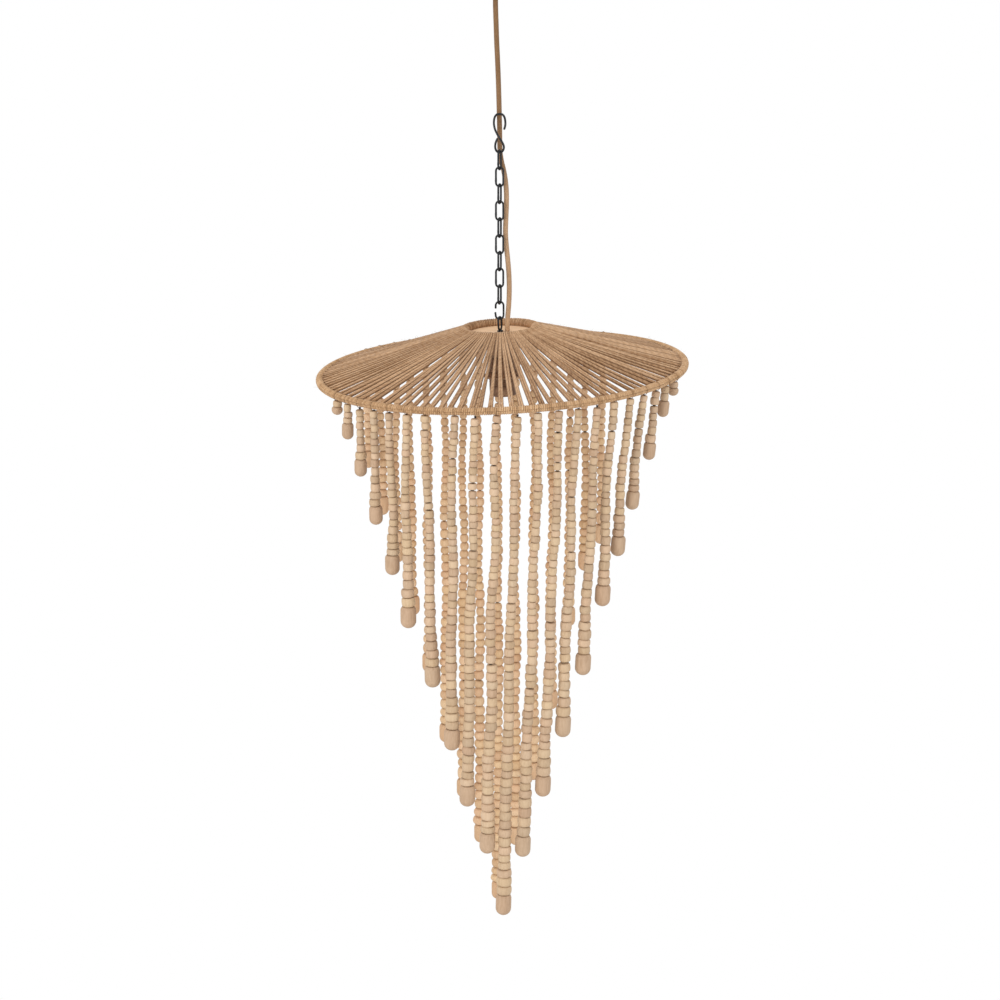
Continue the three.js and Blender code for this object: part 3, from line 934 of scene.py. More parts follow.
def near(radius: float, height: float, *offsets: tuple) -> list:
    """Profile points that lie some millimetres across and up from a radius and a height."""
    return [(radius + across * MM, height + up * MM) for across, up in offsets]


def strand_angle(index: int) -> float:
    """A front strand's angle round the lower ring, from the front centre towards +X."""
    return FRONT_OFFSET + (index - FRONT_LONGEST) * STRAND_PITCH


def back_angle(index: int) -> float:
    """A back strand's angle, half a pitch off the front ones seen from the front."""
    halfway = RIM_SEGMENTS // 2 + 0.5
    return strand_angle(FRONT_LONGEST) + (halfway + BACK_MIDDLE - index) * STRAND_PITCH


@dataclass
class Chain:
    """The S-hook, the nine links and the open link."""

    finishes: Finishes
    wire_sides: int = 14
    hook_upper_width: float = 21.8 * MM
    hook_lower_width: float = 17.6 * MM
    hook_steps: int = 4
    filed_share: float = 0.72
    gap: float = 6 * MM
    gap_spread: float = 0.6 * MM
    gap_run: float = 0.12
    weld_rise: float = 0.28 * MM
    weld_at: float = 0.49
    weld_reach: float = 0.03
    leg_shares: tuple = (0.2, 0.4, 0.5, 0.6, 0.8)
    link_turn: float = math.radians(69)
    wire_fullness: float = 1.03

    # The hook's two loops, as shares of half its width across and of its height down
    UPPER_LOOP = ((0.78, 0.405), (0.98, 0.3), (1, 0.2), (0.86, 0.085), (0.5, 0.012), (0, 0), (-0.5, 0.012),
                  (-0.86, 0.085), (-1, 0.205), (-0.93, 0.32), (-0.74, 0.42), (-0.3, 0.555))
    LOWER_LOOP = ((0.42, 0.7), (0.86, 0.8), (0.97, 0.86), (0.86, 0.93), (0.5, 0.985), (0, 1), (-0.5, 0.985),
                  (-0.86, 0.93), (-1, 0.85), (-0.92, 0.76), (-0.66, 0.68), (-0.42, 0.631))

    def build(self) -> None:
        """Builds and dresses every piece."""
        self.build_hook()
        for index in range(LINK_COUNT):
            self.build_link(index)
        self.build_open_link()

    def dress(self, shape: Shape, name: str, body: str, node: str) -> None:
        """Makes a steel piece of a shape.

        Args:
            shape: What was modelled.
            name: The piece's name.
            body: The body that it rides on.
            node: The node that it stands for.
        """
        piece(shape, name, self.finishes.black_steel, body, [node], None)

    def wire(self, path: list, radius: float) -> Shape:
        """A length of wire whose cut ends are filed round.

        Args:
            path: Its centreline.
            radius: Its radius.

        Returns:
            The wire's shape.
        """
        last = len(path) - 1
        shape = Shape()
        shape.tube(path, lambda share: radius * (self.filed_share if min(share, 1 - share) * last < 0.5 else 1.0),
                   self.wire_sides)
        return shape

    def build_hook(self) -> None:
        """The S-hook: an open upper loop and a closed lower one, with rounded ends."""
        span = HOOK_HEIGHT - HOOK_WIRE
        points = []
        for loop, width in ((self.UPPER_LOOP, self.hook_upper_width), (self.LOWER_LOOP, self.hook_lower_width)):
            for across, down in loop:
                points.append(Vector((across * (width - HOOK_WIRE) / 2, 0, HOOK_WIRE / 2 - down * span)))
        shape = self.wire(smooth_path(points, self.hook_steps), HOOK_WIRE / 2)
        self.dress(shape, "s_hook_wire", Body.HOOK, "s_hook")

    def link_radius(self, share: float) -> float:
        """A link's wire radius, a little proud at the weld in the middle of one leg."""
        distance = abs(share - self.weld_at)
        return LINK_WIRE / 2 * self.wire_fullness + self.weld_rise * max(0.0, 1 - distance / self.weld_reach)

    def build_link(self, index: int) -> None:
        """One welded link.

        Args:
            index: Its place in the chain, from the top.
        """
        oval = oval_path(LINK_LENGTH - LINK_WIRE, LINK_WIDTH - LINK_WIRE)
        half = len(oval) // 2
        legs = [[start.lerp(end, share) for share in self.leg_shares]
                for start, end in ((oval[half - 1], oval[half]), (oval[-1], oval[0]))]
        shape = Shape()
        shape.tube(oval[:half] + legs[0] + oval[half:] + legs[1], self.link_radius, self.wire_sides, closed=True)
        turn = Matrix.Rotation(self.link_turn if index % 2 == 0 else 0.0, 4, "Z")
        shape.move(Matrix.Translation((0, 0, FIRST_LINK_TOP - index * LINK_PITCH)) @ turn)
        self.dress(shape, f"chain_link_wire_{index + 1}", f"link_{index + 1}", f"chain_link_{index + 1}")

    def build_open_link(self) -> None:
        """The link that is left open on its left side, so that the shade can be hooked in."""
        length, width = OPEN_LINK_LENGTH - LINK_WIRE, OPEN_LINK_WIDTH - LINK_WIRE
        oval = oval_path(length, width)
        half = len(oval) // 2
        low, high = (Vector((-width / 2, 0, -length / 2 + side * self.gap / 2)) for side in (-1, 1))
        low.x -= self.gap_spread
        path = [low, low.lerp(oval[half], self.gap_run)] + oval[half:] + oval[:half]
        path += [high.lerp(oval[half - 1], self.gap_run), high]
        shape = self.wire(path, LINK_WIRE / 2)
        shape.move(Matrix.Translation((0, 0, OPEN_LINK_TOP)))
        self.dress(shape, "open_link_wire", Body.OPEN_LINK, "open_link")


@dataclass
class EyeAndPlate:
    """The eye, its collar, shank and nut, the top plate and the rod rings under the twine."""

    finishes: Finishes
    eye_width: float = 13 * MM
    eye_turn: float = math.radians(60)
    collar_radius: float = 5 * MM
    collar_bevel: float = 0.4 * MM
    neck_radius: float = 2.6 * MM
    neck_height: float = 1.4 * MM
    neck_top: float = 1.8 * MM
    shank_radius: float = 2.5 * MM
    shank_length: float = 17.4 * MM
    wire_sides: int = 14
    turn_steps: int = 32

    def build(self) -> None:
        """Builds and dresses every piece."""
        self.build_eye()
        steel = self.finishes.black_steel
        for node, material in (("eye_nut", steel), ("top_plate", self.finishes.board), ("top_ring", steel),
                               ("lower_ring_rod", steel)):
            bpy.data.objects[node].data.materials.clear()
            bpy.data.objects[node].data.materials.append(material)

    def build_eye(self) -> None:
        """A forged eye on a washer-like collar."""
        shape = Shape()
        shape.tube(oval_path(EYE_LENGTH - LINK_WIRE, self.eye_width - LINK_WIRE), LINK_WIRE / 2, self.wire_sides,
                   closed=True)
        shape.move(Matrix.Rotation(self.eye_turn, 4, "Z"))
        low = COLLAR_TOP - COLLAR_HEIGHT
        foot = low - self.shank_length
        brim = self.collar_radius - self.collar_bevel
        shape.turned([(0, foot), (self.shank_radius, foot), (self.shank_radius, low), (brim, low),
                      (self.collar_radius, low + self.collar_bevel), (self.collar_radius, COLLAR_TOP),
                      (brim, COLLAR_TOP + self.collar_bevel), (self.neck_radius, COLLAR_TOP + self.neck_height),
                      (0, COLLAR_TOP + self.neck_top)], self.turn_steps)
        shape.move(SHADE_FRAME)
        piece(shape, "shade_eye", self.finishes.black_steel, Body.SHADE, ["frame_eye"])


@dataclass
class TwineCone:
    """The twines between the two rings, and the fine winding round the lower one."""

    finishes: Finishes
    spoke_seed: int = 11
    wrap_seed: int = 5
    fibre_seed: int = 23
    sectors: int = 4
    twine_sides: int = 6
    run_steps: int = 16
    twine_radius: float = 2.25 * MM
    crown_twine_radius: float = 1.5 * MM
    growth_start: float = 0.2
    growth_run: float = 0.45
    crown_turn: float = math.radians(150)
    crown_steps: int = 4
    pair_spread: float = 2.2 * MM
    crown_spread: float = 0.85 * MM
    spread_power: float = 0.8
    layer_step: float = 1.1 * MM
    rim_depth: float = 4.6 * MM
    sag: float = 1.4 * MM
    wrap_turns: int = 560
    wrap_radius: float = 1.82 * MM
    wrap_lift: float = 0.2 * MM
    wrap_sides: int = 6
    wrap_steps: int = 11
    fibre_count: int = 1500
    fibre_kinds: int = 6
    fibre_steps: int = 3
    fibre_thickness: float = 0.02
    fibre_taper: float = 0.6
    fibre_reach: tuple = (2.5 * MM, 7 * MM)

    # How much one twine, turn or fibre may differ from the next
    lift_play: float = 0.2 * MM
    end_play: float = 0.8 * MM
    drift_play: float = 1.6 * MM
    spread_play: float = 0.25 * MM
    sag_play: tuple = (0.3, 1.3)
    angle_play: float = 0.0065
    pair_tones: tuple = (0.1, 0.9)
    tone_play: float = 0.1
    thickness_play: tuple = (0.92, 1.06)
    wrap_play: float = 0.06
    bend_play: tuple = (0.25, 0.7)
    slope_play: tuple = (0.5, 1.45)

    # The share of the fibres that stand off the winding, and where they and the others stand
    fibres_on_rim: float = 0.3
    rim_root: float = 0.9
    cone_roots: tuple = (0.04, 0.98)
    cone_root_lift: float = 3.2 * MM
    cone_root_fall: float = 0.6

    def build(self) -> None:
        """Builds and dresses every piece."""
        self.build_spokes()
        self.build_wrap()
        self.build_fibres()

    def dress(self, shape: Shape, name: str, material: bpy.types.Material, nodes: Sequence[str] = ()) -> None:
        """Makes a jute piece of a shape that was modelled in the shade's own frame.

        Args:
            shape: What was modelled.
            name: The piece's name.
            material: Its finish.
            nodes: The nodes that it stands for.
        """
        shape.move(SHADE_FRAME)
        piece(shape, name, material, Body.SHADE, nodes, None)

    def spoke_path(self, rng: random.Random, side: int) -> list:
        """One twine's centreline at angle zero: up the inside of the top ring, over it and out to the lower ring.

        Args:
            rng: The source of its small unevenness.
            side: -1 or 1 for the pair's left or right twine.

        Returns:
            The path's points.
        """
        lift = self.layer_step * (0.5 + 0.5 * side) + rng.uniform(-self.lift_play, self.lift_play)
        reach = TOP_ROD_RADIUS + TOUCH_GAP + self.crown_twine_radius + lift
        crown = side * self.crown_spread
        points = [Vector((crown, -(TOP_RING_RADIUS - reach), TOP_RING_HEIGHT - TOP_ROD_RADIUS))]
        for step in range(self.crown_steps + 1):
            angle = math.pi - self.crown_turn * step / self.crown_steps
            points.append(Vector((crown, -(TOP_RING_RADIUS + reach * math.cos(angle)),
                                  TOP_RING_HEIGHT + reach * math.sin(angle))))
        start = points[-1]
        ring = Vector((0, -RING_RADIUS, RING_HEIGHT))
        end = ring - (ring - Vector((0, start.y, start.z))).normalized() * self.rim_depth
        end.z += rng.uniform(0, self.end_play)
        drift = rng.uniform(-self.drift_play, self.drift_play)
        spread = self.pair_spread + rng.uniform(-self.spread_play, self.spread_play)
        sag = self.sag * rng.uniform(*self.sag_play)
        for step in range(1, self.run_steps + 1):
            share = step / self.run_steps
            spot = start.lerp(end, share)
            spot.x = side * (self.crown_spread + (spread - self.crown_spread) * share ** self.spread_power)
            spot.x += drift * math.sin(math.pi * share)
            spot.z -= sag * math.sin(math.pi * share)
            points.append(spot)
        return points

    def twine_thickness(self, share: float) -> float:
        """A twine's radius, from crowded at the crown to full at the lower ring."""
        grown = min(1.0, max(0.0, (share - self.growth_start) / self.growth_run))
        return self.crown_twine_radius + (self.twine_radius - self.crown_twine_radius) * grown

    def twine(self, rng: random.Random, side: int, pair_tone: float) -> Shape:
        """One twine of a pair, at angle zero.

        Args:
            rng: The source of its small unevenness.
            side: -1 or 1 for the pair's left or right twine.
            pair_tone: The tone that both twines of the pair are near.

        Returns:
            The twine's shape.
        """
        thick = rng.uniform(*self.thickness_play)
        path = self.spoke_path(rng, side)
        shape = Shape()
        shape.tube(path, lambda share: thick * self.twine_thickness(share), self.twine_sides,
                   tone=pair_tone + rng.uniform(-self.tone_play, self.tone_play), beside=Vector((side, 0, 0)))
        return shape

    def build_spokes(self) -> None:
        """All the twines, in a few sectors."""
        rng = random.Random(self.spoke_seed)
        share = SPOKE_COUNT // self.sectors
        for sector in range(self.sectors):
            shape = Shape()
            for index in range(sector * share, (sector + 1) * share):
                angle = strand_angle(0) + (index + 0.5) * FULL_TURN / SPOKE_COUNT
                angle += rng.uniform(-self.angle_play, self.angle_play)
                pair_tone = rng.uniform(*self.pair_tones)
                for side in (-1, 1):
                    shape.take(self.twine(rng, side, pair_tone), Matrix.Rotation(angle, 4, "Z"))
            self.dress(shape, f"cone_twines_{sector + 1}", self.finishes.spoke_twine,
                       ["jute_spokes"] if sector == 0 else ())

    def build_wrap(self) -> None:
        """The winding round the lower ring: one turn is extruded, and the rest are copies that join it."""
        pitch = FULL_TURN / self.wrap_turns
        lay = RIM_RADIUS - self.wrap_radius + self.wrap_lift
        path = []
        for step in range(self.wrap_steps + 1):
            around = FULL_TURN * step / self.wrap_steps
            spot = Vector((0, -(RING_RADIUS + lay * math.cos(around)), RING_HEIGHT + lay * math.sin(around)))
            path.append(Matrix.Rotation(pitch * step / self.wrap_steps, 4, "Z") @ spot)
        turn = Shape()
        turn.tube(path, self.wrap_radius, self.wrap_sides, beside=Vector((1, 0, 0)))
        one_turn = turn.mesh("wrap_turn")
        rng = random.Random(self.wrap_seed)
        shape = Shape()
        for index in range(self.wrap_turns):
            angle = pitch * index + rng.uniform(-self.wrap_play, self.wrap_play) * pitch
            shape.copy_of(one_turn, Matrix.Rotation(angle, 4, "Z"), rng.random())
        bpy.data.meshes.remove(one_turn)
        self.dress(shape, "lower_ring_winding", self.finishes.rim_twine, ["lower_ring_wrap"])

    def fibre_mesh(self, rng: random.Random) -> bpy.types.Mesh:
        """A bent fibre of length 1 that thins towards its end.

        Args:
            rng: The source of its bend.

        Returns:
            The fibre's mesh.
        """
        bend = rng.uniform(*self.bend_play)
        last = self.fibre_steps
        hair = Shape()
        hair.tube([Vector((bend * step * step / last ** 2, 0, step / last)) for step in range(last + 1)],
                  lambda share: self.fibre_thickness * (1 - self.fibre_taper * share), 3)
        return hair.mesh("fibre")

    def fibre_root(self, rng: random.Random) -> Matrix:
        """A place on the winding or on the cone, for one fibre.

        Args:
            rng: The source of the place.

        Returns:
            The place, in the shade's own frame.
        """
        angle = rng.uniform(0, FULL_TURN)
        if rng.random() < self.fibres_on_rim:
            around = rng.uniform(0, FULL_TURN)
            across = RING_RADIUS + RIM_RADIUS * self.rim_root * math.cos(around)
            height = RING_HEIGHT + RIM_RADIUS * self.rim_root * math.sin(around)
        else:
            share = rng.uniform(*self.cone_roots)
            across = TOP_RING_RADIUS + (RING_RADIUS - TOP_RING_RADIUS) * share
            height = TOP_RING_HEIGHT + (RING_HEIGHT - TOP_RING_HEIGHT) * share
            height += self.cone_root_lift * (1 - self.cone_root_fall * share)
        return Matrix.Translation((across * math.sin(angle), -across * math.cos(angle), height))

    def build_fibres(self) -> None:
        """Loose ends of fibre that stand off the twines and the winding."""
        rng = random.Random(self.fibre_seed)
        kinds = [self.fibre_mesh(rng) for _ in range(self.fibre_kinds)]
        shape = Shape()
        for _ in range(self.fibre_count):
            root = self.fibre_root(rng)
            lie = Matrix.Rotation(rng.uniform(0, FULL_TURN), 4, "Z")
            lie = lie @ Matrix.Rotation(rng.uniform(*self.slope_play), 4, "X")
            size = Matrix.Scale(rng.uniform(*self.fibre_reach), 4)
            shape.copy_of(rng.choice(kinds), root @ lie @ size, rng.random())
        for kind in kinds:
            bpy.data.meshes.remove(kind)
        self.dress(shape, "cone_fibres", self.finishes.spoke_twine)


@dataclass
class LampHolder:
    """The holder under the plate: its cap, its threaded body with brass inside, and its shade ring."""

    finishes: Finishes
    cap_radius: float = 23 * MM
    cap_height: float = 34 * MM
    cap_wall: float = 2.5 * MM
    cap_step: float = 3 * MM
    dome_radius: float = 6 * MM
    dome_steps: int = 6
    body_radius: float = 22 * MM
    body_height: float = 65 * MM
    plug_radius: float = 19 * MM
    plug_height: float = 12 * MM
    bore_radius: float = 13.5 * MM
    floor: float = 12 * MM
    ring_radius: float = 31 * MM
    ring_height: float = 8 * MM
    ring_drop: float = 26 * MM
    ring_clearance: float = 0.4 * MM
    ring_steps: int = 96
    flutes: int = 32
    flute_depth: float = 0.7 * MM
    flute_margin: float = 0.1 * MM
    thread_pitch: float = 3 * MM
    thread_depth: float = 0.9 * MM
    thread_start: float = 6 * MM
    thread_end: float = 14 * MM
    brass_pitch: float = 3.6 * MM
    brass_wall: float = 0.4 * MM
    brass_foot: float = 6 * MM
    brass_gap: float = 2 * MM
    steps: int = 48

    # A groove of the thread, as a share of its depth and of its pitch
    GROOVE = ((0, 0), (1, 0.3), (1, 0.5), (0, 0.8))

    def build(self) -> None:
        """Builds and dresses every piece."""
        cap_top = PLATE_BOTTOM - TOUCH_GAP
        cap_bottom = cap_top - self.cap_height
        top = cap_bottom - TOUCH_GAP
        self.build_cap(cap_top, cap_bottom)
        self.build_body(top)
        self.build_brass(top)
        self.build_ring(top - self.ring_drop)

    def dress(self, shape: Shape, name: str, nodes: Sequence[str]) -> None:
        """Makes a plastic piece of a shape.

        Args:
            shape: What was modelled.
            name: The piece's name.
            nodes: The nodes that it stands for.
        """
        piece(shape, name, self.finishes.brown_plastic, Body.SHADE, nodes)

    def build_cap(self, top: float, bottom: float) -> None:
        """The domed cap, with a grip band at its lower edge.

        Args:
            top: The height of its top.
            bottom: The height of its lower edge.
        """
        dome, inside = self.dome_radius, self.cap_radius - self.cap_wall
        outer = [(dome, top)]
        outer += arc((self.cap_radius - dome, top - dome), (dome, dome), math.pi / 2, -math.pi / 2, self.dome_steps)
        outer += near(self.cap_radius, bottom, (0, 8), (-0.8, 7.4), (-0.8, 0.6), (-1.3, 0))
        outer += [(inside, bottom), (inside, top - self.cap_wall - self.cap_step), (dome, top - self.cap_wall)]
        shape = Shape()
        shape.turned(outer, self.steps, SHADE_FRAME, ring=True)
        self.dress(shape, "holder_cap_shell", ["holder_cap"])

    def build_body(self, top: float) -> None:
        """The holder's body: a threaded skirt, a plain mouth and a bore.

        Args:
            top: The height of its shoulder.
        """
        bottom = top - self.body_height
        outer = [(0, top + self.plug_height), (self.plug_radius, top + self.plug_height), (self.plug_radius, top)]
        outer += near(self.body_radius, top, (-2, 0), (0, -1.2))
        height = top - self.thread_start
        while height - self.thread_pitch > bottom + self.thread_end:
            for deep, down in self.GROOVE:
                outer.append((self.body_radius - self.thread_depth * deep, height - self.thread_pitch * down))
            height -= self.thread_pitch
        outer += near(self.body_radius, bottom, (0, 1.2), (-1.2, 0))
        outer += near(self.bore_radius, bottom, (1, 0), (0, 1))
        outer += [(self.bore_radius, top - self.floor), (0, top - self.floor)]
        shape = Shape()
        shape.turned(outer, self.steps, SHADE_FRAME)
        self.dress(shape, "holder_body", ["lamp_holder"])

    def build_brass(self, top: float) -> None:
        """The screw shell in the bore, and the contact at the bore's end.

        Args:
            top: The height of the body's shoulder.
        """
        height, high = top - self.body_height + self.brass_foot, top - self.floor - self.brass_gap
        wave = []
        while height < high:
            wave += near(self.bore_radius, height, (-0.5, 0), (-1.3, 1.8))
            height += self.brass_pitch
        inner = [(radius - self.brass_wall, level) for radius, level in reversed(wave)]
        shape = Shape()
        shape.turned(wave + inner, self.steps, SHADE_FRAME, ring=True)
        shape.turned(near(0, high, (0, -3), (4, -3), (4, 1), (0, 1)), self.steps // 2, SHADE_FRAME)
        piece(shape, "holder_brass", self.finishes.brass, Body.SHADE)

    def build_ring(self, top: float) -> None:
        """The ring that screws up the holder's skirt, with grip flutes round it.

        Args:
            top: The height of its upper face.
        """
        inner = self.body_radius + self.ring_clearance
        bottom = top - self.ring_height
        profile = [(inner, bottom)] + near(self.ring_radius, bottom, (-0.8, 0), (0, 0.8), (0, 3))
        profile += near(inner, bottom, (4, 4.2)) + near(inner, top, (3, -0.6), (2.4, 0), (0, 0))
        shape = Shape()
        shape.turned(profile, self.ring_steps, ring=True)
        for vert in shape.bm.verts:
            across = math.hypot(vert.co.x, vert.co.y)
            if across > self.ring_radius - self.flute_margin:
                around = math.atan2(vert.co.y, vert.co.x)
                flute = 1 - self.flute_depth / across * (0.5 + 0.5 * math.cos(around * self.flutes))
                vert.co.x *= flute
                vert.co.y *= flute
        shape.move(SHADE_FRAME)
        self.dress(shape, "holder_shade_ring", ["holder_ring"])


@dataclass
class BeadCurtain:
    """One V-shaped curtain of strands, whose beads are all turned to one outline."""

    finishes: Finishes
    side: Side
    bead_sides: int = 12

    # The outline from the hole's edge to the waist, as shares of the radius and half the height
    FLAT_OUTLINE = ((0.6, 1.0), (0.84, 0.95), (0.935, 0.78), (0.985, 0.42), (1.0, 0.0))
    ROUND_OUTLINE = ((0.45, 1.0), (0.68, 0.92), (0.86, 0.7), (0.965, 0.38), (1.0, 0.0))

    def build(self) -> None:
        """Builds and dresses every strand."""
        bead = self.unit_bead()
        count = len(FRONT_DROP_SHARES if self.side is Side.FRONT else BACK_DROP_SHARES)
        for index in range(count):
            BeadStrand(self.finishes, bead, self.side, index).build()
        bpy.data.meshes.remove(bead)

    def unit_bead(self) -> bpy.types.Mesh:
        """A bead of radius and half height 1: flat-faced at the front, rounder at the back.

        Returns:
            The bead's mesh.
        """
        upper = self.FLAT_OUTLINE if self.side is Side.FRONT else self.ROUND_OUTLINE
        profile = list(upper) + [(across, -up) for across, up in reversed(upper[:-1])]
        shape = Shape()
        shape.turned(profile, self.bead_sides, edges=[abs(up) for _, up in profile])
        return shape.mesh(f"{self.side.value}_bead")


@dataclass
class BeadStrand:
    """One strand: a wire loop round the lower ring, a stem, its beads and the drop bead at its end."""

    finishes: Finishes
    bead: bpy.types.Mesh
    side: Side
    index: int
    seeds: tuple = (1000, 2000)

    # The wire loop; the solids' own loop is six-sided, so its corners reach further out than its clearance
    loop_wire: float = 0.9 * MM
    loop_corner: float = math.pi / 6
    loop_clearance: float = 0.35 * MM
    loop_stretch: float = 0.17
    loop_stretch_power: int = 4
    loop_steps: int = 20
    twist_radius: float = 1.7 * MM
    twist_length: float = 2.6 * MM
    twist_sides: int = 8
    part_wire: float = 1.2 * MM
    wire_sides: int = 6

    # Where the first bead starts, below the loop, and where it does on a strand that is shorter than the limit
    stems: tuple = (-1.2 * MM, -1.0 * MM, -0.6 * MM, 0.4 * MM, 3.0 * MM)
    short_stem: float = -1.0 * MM
    short_length: float = 60 * MM

    # The beads' widths and heights; the beads next to the drop bead flare out towards it
    bead_top_diameter: float = 13 * MM
    bead_low_diameter: float = 17 * MM
    bead_growth: float = 7 * MM
    bead_growth_power: float = 1.5
    front_height: float = 10.9
    front_height_growth: float = 4.4
    front_steady_growth: float = 0.35
    back_height: float = 12.6
    back_height_growth: float = 5.4
    joint_gap: float = 0.25 * MM
    least_height: float = 2 * MM
    last_reach: float = 1.45
    last_pair_reach: float = 2
    flare: float = 0.2
    flare_length: float = 55 * MM
    flare_power: float = 1.5

    # How a strand wanders from its line, and how its beads differ from each other
    swing: tuple = (1.0 * MM, 2.6 * MM)
    swing_slimness: float = 110
    swing_rate: float = 24
    settle: float = 0.4
    jitter: float = 0.75 * MM
    tilt_degrees: tuple = (2.2, 3.2)
    height_play: tuple = (0.84, 1.14)
    width_play: tuple = (0.92, 1.05)
    width_wave: float = 0.05
    width_wave_rate: float = 85

    # A knot in the wire, as shares of its radius and of the gap that it fills
    knot_chance: float = 0.06
    knot_radius: float = 2.6 * MM
    knot_gap: tuple = (1.3 * MM, 2.2 * MM)
    knot_keep_off: float = 20 * MM
    knot_steps: int = 10
    KNOT_OUTLINE = ((0, 0.55), (0.8, 0.5), (1, 0), (0.8, -0.5), (0, -0.55))

    # The drop bead: its neck, as shares of its radius and of the neck's height, and how near its end each point is
    end_diameter: float = 26 * MM
    end_height: float = 36 * MM
    end_length_share: float = 0.6
    end_slimness: float = 0.96
    short_end_share: float = 0.68
    full_end_drop: float = 360 * MM
    end_round: float = 0.92
    end_round_limit: float = 0.6
    end_steps: int = 20
    round_steps: int = 6
    neck_width: float = 0.5
    neck_slimness: float = 4
    end_tones: tuple = (0.0, 0.05)
    NECK_OUTLINE = ((0.5, 0), (0.8, -0.1), (0.94, -0.5), (1, -1))
    NECK_EDGES = (1.0, 0.9, 0.6, 0.2)

    def __post_init__(self) -> None:
        """Works out where the strand hangs, and draws how it wanders."""
        front = self.side is Side.FRONT
        shares = FRONT_DROP_SHARES if front else BACK_DROP_SHARES
        self.name = f"{self.side.value}_strand_{self.index + 1}"
        self.drop = (LONGEST_FRONT_DROP if front else LONGEST_BACK_DROP) * shares[self.index]
        on_flat = not front or self.index < FRONT_SHIFTED_COUNT
        angle = strand_angle(self.index) if front else back_angle(self.index)
        if front and on_flat:
            angle -= STRAND_PITCH / 2
        radius = RING_RADIUS - (CHORD_SAG if on_flat else 0)
        lean = math.radians(FRONT_LEAN_DEGREES[self.index]) if front else 0.0
        self.place = SHADE_FRAME @ Vector((radius * math.sin(angle), -radius * math.cos(angle), RING_HEIGHT))
        self.tangent = SHADE_FRAME.to_3x3() @ Vector((math.cos(angle), math.sin(angle), 0))
        self.down = Vector((-math.sin(lean), 0, -math.cos(lean)))
        self.hang = (self.down - self.tangent * self.down.dot(self.tangent)).normalized()
        self.across = Vector((0, 1, 0)).cross(self.down).normalized()
        self.frame = Matrix((self.across, self.down.cross(self.across), -self.down)).transposed().to_4x4()
        start = (RIM_RADIUS + self.loop_clearance) / math.cos(self.loop_corner) + self.part_wire / 2
        self.origin = self.place + self.hang * start
        self.length = self.drop - start
        grown = min(1.0, self.drop / self.full_end_drop)
        self.end_share = self.short_end_share + (1 - self.short_end_share) * grown
        self.end_tall = min(self.end_height * self.end_share, self.length * self.end_length_share)
        self.low = self.length - self.end_tall
        rng = self.rng = random.Random(self.seeds[0 if front else 1] + self.index)
        self.stem = rng.choice(self.stems) if self.length > self.short_length else self.short_stem
        self.phase = rng.uniform(0, FULL_TURN)
        self.widest_swing = min(rng.uniform(*self.swing), self.length / self.swing_slimness)
        self.wave = rng.uniform(0, FULL_TURN)

    def build(self) -> None:
        """Builds and dresses the strand's two pieces."""
        beads = Shape()
        wire = Shape()
        self.add_loop(wire)
        self.add_beads(beads, wire)
        wood = self.finishes.front_wood_light_matched if self.side is Side.FRONT else self.finishes.back_wood_light_matched
        piece(beads, f"{self.name}_beads", wood, self.name, [self.name])
        piece(wire, f"{self.name}_wire", self.finishes.black_wire, self.name, (), None)

    def add_loop(self, wire: Shape) -> None:
        """The wire loop round the lower ring, closed with two tight turns below it.

        Args:
            wire: The strand's wire shape.
        """
        out = self.tangent.cross(self.hang)
        inner = RIM_RADIUS + self.loop_clearance + self.loop_wire / 2
        path = []
        for step in range(self.loop_steps):
            around = FULL_TURN * step / self.loop_steps
            longer = 1 + self.loop_stretch * max(0.0, math.cos(around)) ** self.loop_stretch_power
            path.append(self.place + inner * longer * (self.hang * math.cos(around) + out * math.sin(around)))
        wire.tube(path, self.loop_wire / 2, self.wire_sides, closed=True, tone=1.0)
        low = self.place + self.hang * (inner * (1 + self.loop_stretch) - self.loop_wire)
        wire.tube([low, low + self.hang * self.twist_length], self.twist_radius, self.twist_sides)

    def on_line(self, depth: float, sway: float = 0.0) -> Matrix:
        """A place on the strand, with Z up along it.

        Args:
            depth: How far it is below the strand's start.
            sway: How far it is off the strand's line, sideways.

        Returns:
            The place.
        """
        return Matrix.Translation(self.origin + self.down * depth + self.across * sway) @ self.frame

    def diameter(self, share: float) -> float:
        """A bead's diameter at a share of the way down the strand."""
        grown = self.bead_low_diameter + self.bead_growth * self.drop / LONGEST_FRONT_DROP - self.bead_top_diameter
        return self.bead_top_diameter + grown * share ** self.bead_growth_power

    def height(self, share: float) -> float:
        """A bead's height at a share of the way down the strand.

        Args:
            share: How far down the strand the bead starts, from 0 to 1.

        Returns:
            Its height.
        """
        if self.side is Side.FRONT:
            steady = self.front_steady_growth
            longer = steady + (1 - steady) * self.drop / LONGEST_FRONT_DROP
            return (self.front_height + self.front_height_growth * share * longer) * MM
        return (self.back_height + self.back_height_growth * share * self.drop / LONGEST_BACK_DROP) * MM

    def next_height(self, depth: float, share: float, flare: float) -> float:
        """Draws the next bead's height, such that the last one meets the drop bead.

        Args:
            depth: Where the bead starts.
            share: The same as a share of the strand's length.
            flare: How much larger it is for being near the drop bead.

        Returns:
            Its height.
        """
        tall = self.height(share) * self.rng.uniform(*self.height_play) * flare
        left = self.low - depth
        if left < tall * self.last_reach:
            return left
        return left / 2 if left < tall * self.last_pair_reach else tall

